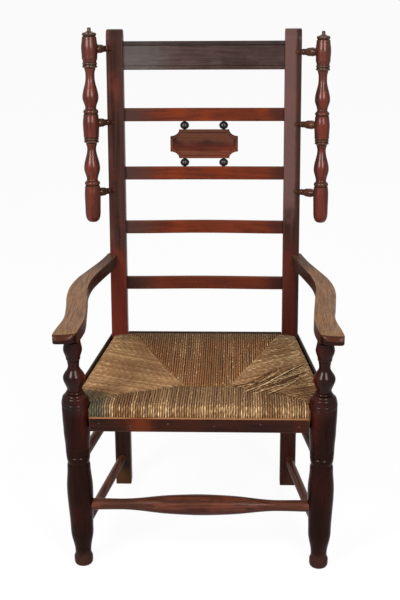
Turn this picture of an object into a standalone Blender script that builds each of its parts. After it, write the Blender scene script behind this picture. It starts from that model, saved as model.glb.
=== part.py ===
"""Ladder-back armchair with a rush seat and a turned wing spindle on each side of the head.

Metres, +Z up. The sitter faces -Y, and "left" and "right" are as seen from in front, so that
left is -X. The origin is on the floor, under the middle of the whole chair. Inside the chair
all places are taken from the point on the floor midway between the two front posts.
"""

from math import atan2, cos, hypot, pi, radians, sin, tan

import bmesh
import bpy
from mathutils import Matrix, Vector
from mathutils.geometry import interpolate_bezier

# Fits and cutting
FIT = 0.0003
OVERRUN = 0.006
MERGE = 0.00001

# Plan of the frame, between the middles of the posts: across its front, across its rear where
# each post stands in from the front one, and from front to rear at the seat
SEAT_WIDTH = 0.540
REAR_POST_INSET = 0.0585
SEAT_DEPTH = 0.398
FRONT_POST_OUT = SEAT_WIDTH / 2
REAR_POST_OUT = FRONT_POST_OUT - REAR_POST_INSET

# Front posts, turned in one length from the foot to the tenon in the arm
FRONT_POST_HEIGHT = 0.5555
FRONT_POST_DIAMETER = 0.061
ARM_TENON_DIAMETER = 0.018
ARM_TENON_LENGTH = 0.017

# Each station: share of the height above the floor, share of the largest diameter, how it is
# reached from the one above it
FRONT_POST_SHARES = (
    (1.000, 0.590, "line"),
    (0.968, 0.675, "curve"),
    (0.930, 0.510, "curve"),
    (0.926, 0.465, "line"),
    (0.897, 0.405, "curve"),
    (0.848, 0.790, "curve"),
    (0.792, 0.540, "curve"),
    (0.790, 0.600, "line"),
    (0.784, 0.600, "line"),
    (0.779, 0.730, "line"),
    (0.765, 0.900, "line"),
    (0.752, 0.975, "line"),
    (0.742, 1.000, "line"),
    (0.730, 0.998, "line"),
    (0.728, 0.975, "line"),
    (0.724, 0.996, "line"),
    (0.622, 0.965, "curve"),
    (0.543, 0.890, "curve"),
    (0.540, 0.840, "line"),
    (0.535, 0.880, "line"),
    (0.517, 0.875, "line"),
    (0.512, 0.815, "line"),
    (0.507, 0.865, "line"),
    (0.494, 0.845, "line"),
    (0.478, 0.790, "line"),
    (0.460, 0.845, "line"),
    (0.354, 0.965, "curve"),
    (0.160, 0.845, "curve"),
    (0.064, 0.615, "line"),
    (0.052, 0.640, "line"),
    (0.032, 0.730, "line"),
    (0.014, 0.690, "line"),
    (0.000, 0.520, "line"),
)

# Rear posts, sawn: below the knee they slope forward to the foot, above it they lean back
REAR_POST_WIDTH = 0.0395
REAR_POST_THICKNESS = 0.032
REAR_POST_TOP = 0.7365
REAR_FOOT_FORWARD = 0.032
KNEE_HEIGHT = 0.410
KNEE_BLEND = 0.080
BACK_LEAN = radians(9.2)
POST_EDGE = 0.0022

# Crest and slats. The height of each slat's middle is measured along the leaning posts from
# the knee, and its width is the same way
CREST_HEIGHT = 0.067
CREST_THICKNESS = 0.017
CREST_BELOW_POST_TOP = 0.028
CREST_LINE_INSET = 0.0095
CREST_LINE_WIDTH = 0.0016
SLAT_WIDTH = 0.0315
SLAT_THICKNESS = 0.012
SLAT_EDGE = 0.0015
SLAT_1_HEIGHT = 0.536
SLAT_2_HEIGHT = 0.396
SLAT_3_HEIGHT = 0.264
SLAT_4_HEIGHT = 0.125
SLAT_1_BOW = 0.005
SLAT_2_BOW = 0.004
SLAT_3_BOW = 0.012
SLAT_4_BOW = 0.007
SLAT_TENON = 0.014
CREST_TENON_HEIGHT = 0.044
CREST_TENON_THICKNESS = 0.009

# Tablet between the two upper slats, held by four black beads on spigots
TABLET_WIDTH = 0.163
TABLET_HEIGHT = 0.069
TABLET_THICKNESS = 0.010
TABLET_NOTCH_WIDTH = 0.021
TABLET_NOTCH_HEIGHT = 0.016
TABLET_EDGE = 0.002
BEAD_OUT = 0.047
BEAD_DIAMETER = 0.0222
BEAD_SPIGOT_DIAMETER = 0.006
BEAD_SPIGOT_LENGTH = 0.008

# Wings: a turned spindle beside each rear post, carried on three turned pegs
LEFT_WING_LENGTH = 0.455
LEFT_WING_ABOVE_POST = 0.0032
LEFT_WING_OUT = 0.0532
RIGHT_WING_LENGTH = 0.446
RIGHT_WING_BELOW_POST = 0.0068
RIGHT_WING_OUT = 0.0668
WING_DIAMETER = 0.0378
WING_FORWARD = 0.060
WINGS = {
    "left": (LEFT_WING_OUT, LEFT_WING_ABOVE_POST, LEFT_WING_LENGTH),
    "right": (RIGHT_WING_OUT, -RIGHT_WING_BELOW_POST, RIGHT_WING_LENGTH),
}
WING_SHARES = (
    (0.000, 0.130, "line"),
    (0.004, 0.220, "line"),
    (0.016, 0.250, "line"),
    (0.020, 0.420, "line"),
    (0.030, 0.880, "line"),
    (0.037, 0.900, "line"),
    (0.042, 0.800, "line"),
    (0.047, 0.800, "line"),
    (0.049, 0.925, "line"),
    (0.107, 1.000, "curve"),
    (0.172, 0.930, "curve"),
    (0.176, 0.850, "line"),
    (0.182, 0.960, "line"),
    (0.188, 0.860, "line"),
    (0.196, 0.940, "line"),
    (0.203, 0.700, "line"),
    (0.238, 0.610, "curve"),
    (0.352, 1.000, "curve"),
    (0.409, 0.670, "curve"),
    (0.416, 0.900, "line"),
    (0.428, 0.960, "line"),
    (0.434, 0.860, "line"),
    (0.438, 0.965, "line"),
    (0.486, 1.000, "curve"),
    (0.556, 0.950, "curve"),
    (0.560, 0.870, "line"),
    (0.568, 0.970, "line"),
    (0.574, 0.870, "line"),
    (0.581, 0.940, "line"),
    (0.588, 0.680, "line"),
    (0.614, 0.560, "curve"),
    (0.715, 1.000, "curve"),
    (0.778, 0.680, "curve"),
    (0.786, 0.900, "line"),
    (0.797, 0.960, "line"),
    (0.803, 0.860, "line"),
    (0.808, 0.970, "line"),
    (0.845, 1.000, "curve"),
    (0.955, 0.940, "curve"),
    (0.982, 0.800, "line"),
    (0.995, 0.520, "line"),
    (1.000, 0.260, "line"),
)

# Places of the three pegs down the wing, as shares of its length
PEG_SHARES = (0.107, 0.484, 0.845)
PEG_DIAMETER = 0.020
PEG_TENON_DIAMETER = 0.0085
PEG_TENON_LENGTH = 0.012
PEG_POST_IN = 0.0115
PEG_LAP_SHARE = 0.20
PEG_PROFILE_SHARES = (
    (0.00, 0.60, "line"),
    (0.10, 0.66, "line"),
    (0.42, 1.00, "curve"),
    (0.74, 0.70, "curve"),
    (0.78, 0.62, "line"),
    (0.82, 0.76, "line"),
    (1.00, 0.76, "line"),
)

# Arms, sawn to a plan and a side outline
ARM_OVERHANG = 0.0425
ARM_WIDTH = 0.0505
ARM_THICKNESS = 0.029
ARM_NOSE_THICKNESS = 0.0185
ARM_RISE = 0.023
ARM_SWEEP = 0.045
ARM_NOSE_SKEW = 0.009
ARM_EDGE = 0.0045
ARM_REAR_TENON_WIDTH = 0.012
ARM_REAR_TENON_HEIGHT = 0.018
ARM_REAR_TENON_LENGTH = 0.014
ARM_REAR_TENON_OUT = 0.008

# Shares of the arm's length, of its sweep outwards and of its width, from the nose to the rear
ARM_PLAN_SHARES = (
    (0.000, 0.32, 1.00),
    (0.095, 0.31, 0.99),
    (0.200, 0.29, 0.92),
    (0.310, 0.49, 0.90),
    (0.443, 0.80, 0.93),
    (0.554, 1.00, 0.84),
    (0.665, 0.98, 0.72),
    (0.776, 0.74, 0.60),
    (0.887, 0.46, 0.52),
    (1.000, 0.26, 0.51),
)

# Shares of the arm's length where its underside changes, from the nose to the rear
ARM_UNDERSIDE_SHARES = (0.028, 0.052, 0.140, 0.300)

# Seat rails inside the rush, with their tenons staggered in height so that they pass
RAIL_TOP = 0.403
RAIL_HEIGHT = 0.042
RAIL_THICKNESS = 0.022
RAIL_EDGE = 0.005
RAIL_TENON_HEIGHT = 0.014
RAIL_TENON_THICKNESS = 0.012
RAIL_TENON_LENGTH = 0.021
RAIL_TENON_STAGGER = 0.010
REAR_RAIL_FORWARD = 0.0055

# Rush, woven over the rails
RUSH_TOP = 0.410
RUSH_BOTTOM = 0.3505
RUSH_WRAP = 0.006
RUSH_SAG = 0.021
RUSH_RISE_BELOW = 0.006
RUSH_ROUND = 0.0055
RUSH_CUTS = 6

# Strips nailed round the edge of the rush
FRONT_STRIP_TOP = 0.3845
FRONT_STRIP_HEIGHT = 0.0325
FRONT_STRIP_THICKNESS = 0.0085
SIDE_STRIP_TOP = 0.405
SIDE_STRIP_HEIGHT = 0.028
SIDE_STRIP_THICKNESS = 0.005
STRIP_EDGE = 0.0016

# Stretchers
FRONT_STRETCHER_HEIGHT = 0.155
FRONT_STRETCHER_DIAMETER = 0.047
STRETCHER_DIAMETER = 0.0215
STRETCHER_END_DIAMETER = 0.0175
STRETCHER_TENON = 0.018
UPPER_STRETCHER_FRONT = 0.236
UPPER_STRETCHER_REAR = 0.264
LOWER_STRETCHER_FRONT = 0.066
LOWER_STRETCHER_REAR = 0.090
REAR_STRETCHER_HEIGHT = 0.185

# Shares of the stretcher's length between the posts, and of its diameter. The front one swells
# in its middle, and its second half mirrors the first
FRONT_STRETCHER_HALF_SHARES = (
    (0.000, 0.360),
    (0.012, 0.500),
    (0.030, 0.555),
    (0.060, 0.553),
    (0.150, 0.520),
    (0.200, 0.550),
    (0.250, 0.640),
    (0.300, 0.765),
    (0.350, 0.870),
    (0.420, 0.955),
    (0.500, 1.000),
)
FRONT_STRETCHER_SHARES = tuple(
    [(along, wide, "line") for along, wide in FRONT_STRETCHER_HALF_SHARES]
    + [(1 - along, wide, "line") for along, wide in FRONT_STRETCHER_HALF_SHARES[-2::-1]]
)
STRETCHER_SHARES = (
    (0.000, 0.000, "line"),
    (0.060, 1.000, "curve"),
    (0.940, 1.000, "line"),
    (1.000, 0.000, "curve"),
)

# How finely round and curved work is divided
POST_SEGMENTS = 18
SMALL_SEGMENTS = 12
CURVE_STEPS = 3
HALF_ROUND_STEPS = 8
HOLLOW_STEPS = 4
SLAT_STEPS = 5
PLAN_STEPS = 3
SHARP_ANGLE = radians(40)

SIDES = (("left", -1), ("right", 1))

# Colour, roughness and metallic value of each finish
FINISHES = {
    "dark_post": ((0.060, 0.012, 0.007, 1.0), 0.32, 0.0),
    "front_leg": ((0.022, 0.008, 0.006, 1.0), 0.30, 0.0),
    "red_brown": ((0.130, 0.025, 0.012, 1.0), 0.28, 0.0),
    "crest": ((0.040, 0.014, 0.010, 1.0), 0.35, 0.0),
    "black": ((0.006, 0.005, 0.005, 1.0), 0.18, 0.0),
    "worn_arm": ((0.150, 0.070, 0.030, 1.0), 0.38, 0.0),
    "plain_rail": ((0.110, 0.055, 0.030, 1.0), 0.60, 0.0),
    "rush": ((0.240, 0.160, 0.085, 1.0), 0.75, 0.0),
    "strip": ((0.100, 0.022, 0.010, 1.0), 0.35, 0.0),
}


def clear_scene():
    """Removes whatever the open file holds."""
    for item in list(bpy.data.objects):
        bpy.data.objects.remove(item, do_unlink=True)


def new_collection(name, hidden):
    """A collection under the scene, hidden from renders where it holds cutters."""
    made = bpy.data.collections.new(name)
    bpy.context.scene.collection.children.link(made)
    made.hide_render = hidden
    return made


clear_scene()
PARTS = new_collection("armchair", False)
CUTTERS = new_collection("armchair_cutters", True)


def marker(name, place, turn, parent):
    """An empty that carries the pieces of one frame of reference."""
    made = bpy.data.objects.new(name, None)
    made.location = place
    made.rotation_euler = turn
    made.parent = parent
    PARTS.objects.link(made)
    return made


def keep(name, mesh, place, turn, parent, finish):
    """An object for the mesh: a part with its own material, or a cutter where finish is None."""
    made = bpy.data.objects.new(name, mesh)
    made.location = place
    made.rotation_euler = turn
    made.parent = parent
    if finish is None:
        CUTTERS.objects.link(made)
        made.hide_render = True
        made.display_type = "WIRE"
        return made
    PARTS.objects.link(made)
    colour, roughness, metallic = FINISHES[finish]
    material = bpy.data.materials.new(name + "_" + finish)
    material.use_nodes = True
    shader = material.node_tree.nodes["Principled BSDF"]
    shader.inputs["Base Color"].default_value = colour
    shader.inputs["Roughness"].default_value = roughness
    shader.inputs["Metallic"].default_value = metallic
    material.diffuse_color = colour
    mesh.materials.append(material)
    return made


def block(name, size, place, turn, parent, finish=None):
    """A rectangular block about its middle."""
    shape = bmesh.new()
    bmesh.ops.create_cube(shape, size=1, matrix=Matrix.Diagonal((*size, 1)))
    mesh = bpy.data.meshes.new(name)
    shape.to_mesh(mesh)
    shape.free()
    return keep(name, mesh, place, turn, parent, finish)


def turned(name, profile, segments, place, turn, parent, finish=None):
    """A turned piece from (radius, height) points that run from its top to its bottom."""
    mesh = bpy.data.meshes.new(name)
    points = [(radius, 0, height) for radius, height in profile]
    mesh.from_pydata(points, [(n, n + 1) for n in range(len(points) - 1)], [])
    made = keep(name, mesh, place, turn, parent, finish)
    screw = made.modifiers.new("turning", "SCREW")
    screw.axis = "Z"
    screw.angle = 2 * pi
    screw.steps = segments
    screw.render_steps = segments
    screw.use_merge_vertices = True
    screw.merge_threshold = MERGE
    screw.use_smooth_shade = True
    return made


def pin(name, diameter, length, place, turn, parent, segments=SMALL_SEGMENTS):
    """A round cutter about its middle, for a hole or a round tenon, with its piece's facets."""
    radius = diameter / 2
    profile = [(0, length / 2), (radius, length / 2), (radius, -length / 2), (0, -length / 2)]
    return turned(name, profile, segments, place, turn, parent)


def profile_of(shares, diameter, height_at):
    """Turned profile through the stations; height_at gives the height of a share."""
    points = []
    for share, width_share, reach in shares:
        radius = diameter * width_share / 2
        height = height_at(share)
        if reach == "curve":
            start_radius, start_height = points[-1]
            for step in range(1, CURVE_STEPS):
                along = step / CURVE_STEPS
                eased = (1 - cos(pi * along)) / 2
                points.append((
                    start_radius + (radius - start_radius) * eased,
                    start_height + (height - start_height) * along,
                ))
        points.append((radius, height))
    return points


def board(name, outline, thickness, place, turn, parent, finish=None):
    """A flat outline in its own XY plane, as thick as thickness about that plane."""
    curve = bpy.data.curves.new(name, "CURVE")
    curve.dimensions = "2D"
    curve.fill_mode = "BOTH"
    curve.extrude = thickness / 2
    spline = curve.splines.new("POLY")
    spline.points.add(len(outline) - 1)
    spline.use_cyclic_u = True
    for point, (x, y) in zip(spline.points, outline):
        point.co = (x, y, 0, 1)
    drawn = bpy.data.objects.new(name, curve)
    CUTTERS.objects.link(drawn)
    bpy.context.view_layer.update()
    graph = bpy.context.evaluated_depsgraph_get()
    mesh = bpy.data.meshes.new_from_object(drawn.evaluated_get(graph))
    bpy.data.objects.remove(drawn)
    bpy.data.curves.remove(curve)
    shape = bmesh.new()
    shape.from_mesh(mesh)
    bmesh.ops.remove_doubles(shape, verts=shape.verts, dist=MERGE)
    bmesh.ops.recalc_face_normals(shape, faces=shape.faces)
    shape.to_mesh(mesh)
    shape.free()
    mesh.materials.clear()
    return keep(name, mesh, place, turn, parent, finish)


def combine(piece, other, operation):
    """A Boolean of the piece with another object."""
    modifier = piece.modifiers.new(operation.lower() + "_" + other.name, "BOOLEAN")
    modifier.operation = operation
    modifier.solver = "EXACT"
    modifier.object = other


def cut(piece, *cutters):
    """Takes the cutters out of the piece."""
    for cutter in cutters:
        combine(piece, cutter, "DIFFERENCE")


def join(piece, *others):
    """Adds the others to the piece."""
    for other in others:
        combine(piece, other, "UNION")


def soften(piece, width, segments=1):
    """Rounds the sharp edges that the piece has so far."""
    modifier = piece.modifiers.new("rounded_edges", "BEVEL")
    modifier.width = width
    modifier.segments = segments
    modifier.limit_method = "ANGLE"
    modifier.angle_limit = SHARP_ANGLE


def shade(piece):
    """Smooth shading that keeps hard edges."""
    piece.data.shade_smooth()
    piece.data.set_sharp_from_angle(angle=SHARP_ANGLE)


def joint(name, size, place, turn, parent, post):
    """A rectangular tenon; its mortise, larger by the fit, is cut in the post."""
    tenon = block(name + "_tenon", size, place, turn, parent)
    hole = [length + 2 * FIT for length in size]
    cut(post, block(name + "_mortise", hole, place, turn, parent))
    return tenon


def post_middle(height):
    """How far back the middle of a rear post is at this height above the floor."""
    above = height - KNEE_HEIGHT
    low = REAR_FOOT_FORWARD / KNEE_HEIGHT
    high = tan(BACK_LEAN)
    if above <= -KNEE_BLEND:
        return SEAT_DEPTH + low * above
    if above >= KNEE_BLEND:
        return SEAT_DEPTH + high * above
    ease = (high - low) / (4 * KNEE_BLEND)
    return SEAT_DEPTH + (low + high) / 2 * above + ease * (above**2 + KNEE_BLEND**2)


def rear_post_outline(grown):
    """Side outline of a rear post as (back, height) points, larger all round by grown."""
    half = (REAR_POST_THICKNESS / 2 + grown) / cos(BACK_LEAN)
    nose_up = REAR_POST_THICKNESS / 2
    straight_top = KNEE_HEIGHT + (REAR_POST_TOP - nose_up) * cos(BACK_LEAN)
    heights = [-grown, KNEE_HEIGHT - KNEE_BLEND]
    heights += [KNEE_HEIGHT + KNEE_BLEND * step / 2 for step in (-1, 0, 1, 2)]
    heights.append(straight_top)
    front = [(post_middle(height) - half, height) for height in heights]
    back = [(post_middle(height) + half, height) for height in reversed(heights)]
    nose = []
    for step in range(1, HALF_ROUND_STEPS):
        turn = pi * step / HALF_ROUND_STEPS
        out = -(half * cos(BACK_LEAN)) * cos(turn)
        up = (nose_up + grown) * sin(turn)
        nose.append((
            post_middle(straight_top) + out * cos(BACK_LEAN) + up * sin(BACK_LEAN),
            straight_top + up * cos(BACK_LEAN) - out * sin(BACK_LEAN),
        ))
    return front + nose + back


CHAIR_FRONT = -ARM_OVERHANG
CHAIR_BACK = max(back for back, height in rear_post_outline(0))
ORIGIN = marker("chair_origin", (0, -(CHAIR_FRONT + CHAIR_BACK) / 2, 0), (0, 0, 0), None)
BACK_FRAME = marker("back_frame", (0, SEAT_DEPTH, KNEE_HEIGHT), (-BACK_LEAN, 0, 0), ORIGIN)

# Turns a board's own plane to the plane across the chair: its x runs back and its y up
SIDEWAYS = Matrix(((0, 0, 1), (1, 0, 0), (0, 1, 0))).to_euler()

# Turns a board's own plane upright: its x runs to the right and its y up
UPRIGHT = (pi / 2, 0, 0)

CLEAR_HALF_WIDTH = REAR_POST_OUT - REAR_POST_WIDTH / 2
RAIL_MIDDLE = RAIL_TOP - RAIL_HEIGHT / 2
REAR_RAIL_BACK = post_middle(RAIL_MIDDLE) - REAR_RAIL_FORWARD
TOE = atan2(REAR_POST_OUT - FRONT_POST_OUT, SEAT_DEPTH)


def side_rail_out(back):
    """Distance of a side rail's middle from the middle of the chair, this far back."""
    return FRONT_POST_OUT + (REAR_POST_OUT - FRONT_POST_OUT) * back / SEAT_DEPTH


def front_post(side, sign):
    """Turned front post with the tenon that enters the arm."""
    profile = profile_of(
        FRONT_POST_SHARES, FRONT_POST_DIAMETER, lambda share: share * FRONT_POST_HEIGHT
    )
    tenon_top = FRONT_POST_HEIGHT + ARM_TENON_LENGTH
    tenon = [
        (0, tenon_top),
        (ARM_TENON_DIAMETER / 2, tenon_top),
        (ARM_TENON_DIAMETER / 2, FRONT_POST_HEIGHT),
    ]
    return turned(
        "front_post_" + side, tenon + profile + [(0, 0)], POST_SEGMENTS,
        (sign * FRONT_POST_OUT, 0, 0), (0, 0, 0), ORIGIN, "front_leg",
    )


def rear_post(side, sign):
    """Sawn rear post, bent at the knee, with a rounded top."""
    piece = board(
        "rear_post_" + side, rear_post_outline(0), REAR_POST_WIDTH,
        (sign * REAR_POST_OUT, 0, 0), SIDEWAYS, ORIGIN, "dark_post",
    )
    soften(piece, POST_EDGE, 2)
    shade(piece)
    return piece


def corner_clearances(side, sign):
    """Cutters as large as the two posts and the gap round them, for what meets the posts."""
    height = RUSH_TOP - RUSH_BOTTOM + 2 * OVERRUN
    front = pin(
        "front_corner_" + side, FRONT_POST_DIAMETER + 2 * FIT, height,
        (sign * FRONT_POST_OUT, 0, (RUSH_TOP + RUSH_BOTTOM) / 2), (0, 0, 0), ORIGIN,
        POST_SEGMENTS * 2,
    )
    rear = board(
        "rear_corner_" + side, rear_post_outline(FIT), REAR_POST_WIDTH + 2 * FIT,
        (sign * REAR_POST_OUT, 0, 0), SIDEWAYS, ORIGIN,
    )
    return front, rear


def crest_rail(posts):
    """Straight top rail with a line cut along each edge of its front."""
    up = REAR_POST_TOP - CREST_BELOW_POST_TOP - CREST_HEIGHT / 2
    length = 2 * (CLEAR_HALF_WIDTH - FIT)
    piece = block(
        "crest_rail", (length, CREST_THICKNESS, CREST_HEIGHT), (0, 0, up), (0, 0, 0),
        BACK_FRAME, "crest",
    )
    soften(piece, SLAT_EDGE)
    for edge, way in (("lower", -1), ("upper", 1)):
        line = block(
            "crest_line_" + edge, (length + OVERRUN, CREST_LINE_WIDTH, CREST_LINE_WIDTH),
            (0, -CREST_THICKNESS / 2, up + way * (CREST_HEIGHT / 2 - CREST_LINE_INSET)),
            (pi / 4, 0, 0), BACK_FRAME,
        )
        cut(piece, line)
    for side, sign in SIDES:
        reach = SLAT_TENON + OVERRUN
        size = (reach, CREST_TENON_THICKNESS, CREST_TENON_HEIGHT)
        place = (sign * (CLEAR_HALF_WIDTH + SLAT_TENON - reach / 2), 0, up)
        join(piece, joint("crest_" + side, size, place, (0, 0, 0), BACK_FRAME, posts[side]))
    shade(piece)


def slat_outline(bow, grown):
    """Plan of a slat as (right, back) points: bowed between the posts, straight inside them."""
    half = SLAT_THICKNESS / 2 + grown
    end = CLEAR_HALF_WIDTH + SLAT_TENON + grown
    steps = range(-SLAT_STEPS, SLAT_STEPS + 1)
    stations = [-end] + [CLEAR_HALF_WIDTH * step / SLAT_STEPS for step in steps] + [end]
    turns = [pi * max(-1, min(1, right / CLEAR_HALF_WIDTH)) for right in stations]
    bows = [bow * (1 + cos(turn)) / 2 for turn in turns]
    front = [(right, back - half) for right, back in zip(stations, bows)]
    rear = [(right, back + half) for right, back in zip(stations, bows)]
    return front + rear[::-1]


def back_slat(name, up, bow, posts):
    """Bowed slat whose ends pass into mortises in both rear posts."""
    piece = board(
        name, slat_outline(bow, 0), SLAT_WIDTH, (0, 0, up), (0, 0, 0), BACK_FRAME, "red_brown"
    )
    soften(piece, SLAT_EDGE)
    shade(piece)
    for side, sign in SIDES:
        reach = SLAT_TENON + OVERRUN
        hole = block(
            name + "_mortise_" + side,
            (reach, SLAT_THICKNESS + 2 * FIT, SLAT_WIDTH + 2 * FIT),
            (sign * (CLEAR_HALF_WIDTH + SLAT_TENON + FIT - reach / 2), 0, up),
            (0, 0, 0), BACK_FRAME,
        )
        cut(posts[side], hole)
    return piece


def tablet_outline():
    """Oblong with a hollow quarter cut from each corner."""
    points = []
    for right, up, start in ((1, 1, 0), (-1, 1, 1), (-1, -1, 0), (1, -1, 1)):
        hollow = []
        for step in range(HOLLOW_STEPS + 1):
            turn = pi / 2 * step / HOLLOW_STEPS
            hollow.append((
                right * (TABLET_WIDTH / 2 - TABLET_NOTCH_WIDTH * sin(turn)),
                up * (TABLET_HEIGHT / 2 - TABLET_NOTCH_HEIGHT * cos(turn)),
            ))
        points += hollow[::-1] if start else hollow
    return points


def tablet_and_beads(upper_slat, lower_slat):
    """Tablet between the two upper slats, and the beads whose spigots hold it there."""
    up = (SLAT_1_HEIGHT + SLAT_2_HEIGHT) / 2
    bow_share = (1 + cos(pi * BEAD_OUT / CLEAR_HALF_WIDTH)) / 2
    back = (SLAT_1_BOW + SLAT_2_BOW) / 2 * bow_share
    tablet = board(
        "tablet", tablet_outline(), TABLET_THICKNESS, (0, back, up), UPRIGHT, BACK_FRAME,
        "red_brown",
    )
    soften(tablet, TABLET_EDGE)
    shade(tablet)
    gap = (SLAT_1_HEIGHT - SLAT_2_HEIGHT - SLAT_WIDTH - TABLET_HEIGHT) / 2
    bead_height = gap - 2 * FIT
    for level, way, slat in (("upper", 1, upper_slat), ("lower", -1, lower_slat)):
        for side, sign in SIDES:
            name = f"bead_{level}_{side}"
            place = (sign * BEAD_OUT, back, up + way * (TABLET_HEIGHT + gap) / 2)
            round_part = []
            for step in range(1, HALF_ROUND_STEPS):
                turn = pi * step / HALF_ROUND_STEPS
                round_part.append((BEAD_DIAMETER / 2 * sin(turn), bead_height / 2 * cos(turn)))
            spigot = BEAD_SPIGOT_DIAMETER / 2
            end = bead_height / 2 + BEAD_SPIGOT_LENGTH
            top = [(0, end), (spigot, end), (spigot, bead_height / 2)]
            profile = top + round_part + [(radius, -height) for radius, height in top[::-1]]
            turned(name, profile, SMALL_SEGMENTS, place, (0, 0, 0), BACK_FRAME, "black")
            hole = pin(
                name + "_hole", BEAD_SPIGOT_DIAMETER + 2 * FIT, 2 * (end + FIT), place,
                (0, 0, 0), BACK_FRAME,
            )
            cut(tablet, hole)
            cut(slat, hole)


def wing(side, sign, post, clearance):
    """Turned spindle beside the head, and the three pegs that carry it from the post."""
    beside_post, above_post, length = WINGS[side]
    out = sign * (REAR_POST_OUT + beside_post)
    top = REAR_POST_TOP + above_post
    profile = profile_of(WING_SHARES, WING_DIAMETER, lambda share: -share * length)
    spindle = turned(
        "wing_spindle_" + side, [(0, 0)] + profile + [(0, -length)], SMALL_SEGMENTS,
        (out, -WING_FORWARD, top), (0, 0, 0), BACK_FRAME, "red_brown",
    )
    face = Vector((sign * (REAR_POST_OUT + PEG_POST_IN), -REAR_POST_THICKNESS / 2, 0))
    run = Vector((out, -WING_FORWARD, 0)) - face
    turn = run.to_track_quat("Z", "Y").to_euler()
    clear_length = run.length - WING_DIAMETER / 2 - FIT
    lap = PEG_DIAMETER * PEG_LAP_SHARE
    body = clear_length + lap
    for number, share in enumerate(PEG_SHARES, 1):
        name = f"wing_peg_{side}_{number}"
        start = face + Vector((0, 0, top - share * length))
        spigot = PEG_TENON_DIAMETER / 2
        far = clear_length + PEG_TENON_LENGTH
        head = [(0, far), (spigot, far)]
        shape = profile_of(
            PEG_PROFILE_SHARES, PEG_DIAMETER, lambda along: clear_length - along * body
        )
        foot = [(0, -lap)]
        peg = turned(
            name, head + [(spigot, clear_length)] + shape + foot, SMALL_SEGMENTS, start, turn,
            BACK_FRAME, "red_brown",
        )
        cut(peg, clearance)
        middle = start - run.normalized() * (PEG_TENON_LENGTH - OVERRUN) / 2
        join(peg, pin(
            name + "_tenon", PEG_TENON_DIAMETER, PEG_TENON_LENGTH + OVERRUN, middle, turn,
            BACK_FRAME,
        ))
        hole_length = run.length + 2 * (PEG_TENON_LENGTH + FIT) - WING_DIAMETER / 2
        hole_middle = start + run.normalized() * (hole_length / 2 - PEG_TENON_LENGTH - FIT)
        hole = pin(
            name + "_hole", PEG_TENON_DIAMETER + 2 * FIT, hole_length, hole_middle, turn,
            BACK_FRAME,
        )
        cut(post, hole)
        cut(spindle, hole)


def smooth_through(points, steps):
    """Points on a smooth curve that passes through the given ones."""
    knots = [Vector(point) for point in points]
    made = [knots[0]]
    for before, start, end, after in zip(knots[:1] + knots, knots, knots[1:], knots[2:] + knots[-1:]):
        leaving = start + (end - before) / 6
        arriving = end - (after - start) / 6
        made += interpolate_bezier(start, leaving, arriving, end, steps + 1)[1:]
    return [tuple(point) for point in made]


def arm_plan(sign):
    """Plan outline of an arm as (right, back) points."""
    rear = post_middle(FRONT_POST_HEIGHT + ARM_THICKNESS)
    length = ARM_OVERHANG + rear
    outer, inner = [], []
    for along, sweep, width in ARM_PLAN_SHARES:
        line = FRONT_POST_OUT + (REAR_POST_OUT - FRONT_POST_OUT) * along
        middle = line + ARM_SWEEP * sweep
        half = ARM_WIDTH * width / 2
        back = -ARM_OVERHANG + length * along
        outer.append((sign * (middle + half), back))
        inner.append((sign * (middle - half), back))
    inner[0] = (inner[0][0], inner[0][1] + ARM_NOSE_SKEW)
    return smooth_through(outer, PLAN_STEPS) + smooth_through(inner, PLAN_STEPS)[::-1]


def arm_side():
    """Side outline of an arm as (back, height) points, from the nose along the top."""
    seat = FRONT_POST_HEIGHT + FIT
    rear = post_middle(FRONT_POST_HEIGHT + ARM_THICKNESS)
    length = ARM_OVERHANG + rear
    front = -ARM_OVERHANG - OVERRUN

    def top(back):
        return seat + ARM_THICKNESS + ARM_RISE * back / rear

    nose, heel, level, lift = (-ARM_OVERHANG + share * length for share in ARM_UNDERSIDE_SHARES)
    underside = [
        (rear, top(rear) - ARM_THICKNESS),
        (lift, top(lift) - ARM_THICKNESS),
        (level, seat),
        (heel, seat),
        (nose, top(nose) - ARM_NOSE_THICKNESS),
        (front, top(front) - ARM_NOSE_THICKNESS),
    ]
    return [(front, top(front)), (rear, top(rear))] + underside


def arm(side, sign, rear, rear_clearance):
    """Arm tenoned into the rear post and lying on the front post's tenon."""
    width = 2 * (ARM_WIDTH + ARM_SWEEP)
    piece = board(
        "arm_" + side, arm_plan(sign), 2 * (ARM_THICKNESS + ARM_RISE),
        (0, 0, FRONT_POST_HEIGHT + ARM_THICKNESS), (0, 0, 0), ORIGIN, "worn_arm",
    )
    outline = board(
        "arm_side_" + side, arm_side(), width, (sign * FRONT_POST_OUT, 0, 0), SIDEWAYS, ORIGIN
    )
    combine(piece, outline, "INTERSECT")
    soften(piece, ARM_EDGE, 2)
    cut(piece, rear_clearance)
    cut(piece, pin(
        "arm_socket_" + side, ARM_TENON_DIAMETER + 2 * FIT, 2 * (ARM_TENON_LENGTH + FIT),
        (sign * FRONT_POST_OUT, 0, FRONT_POST_HEIGHT), (0, 0, 0), ORIGIN, POST_SEGMENTS,
    ))
    height = FRONT_POST_HEIGHT + ARM_THICKNESS / 2 + ARM_RISE
    face = post_middle(height) - REAR_POST_THICKNESS / 2
    reach = ARM_REAR_TENON_LENGTH + 2 * OVERRUN
    join(piece, joint(
        "arm_rear_" + side, (ARM_REAR_TENON_WIDTH, reach, ARM_REAR_TENON_HEIGHT),
        (
            sign * (REAR_POST_OUT + ARM_REAR_TENON_OUT),
            face + ARM_REAR_TENON_LENGTH - reach / 2,
            height,
        ),
        (0, 0, 0), ORIGIN, rear,
    ))
    shade(piece)


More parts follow.
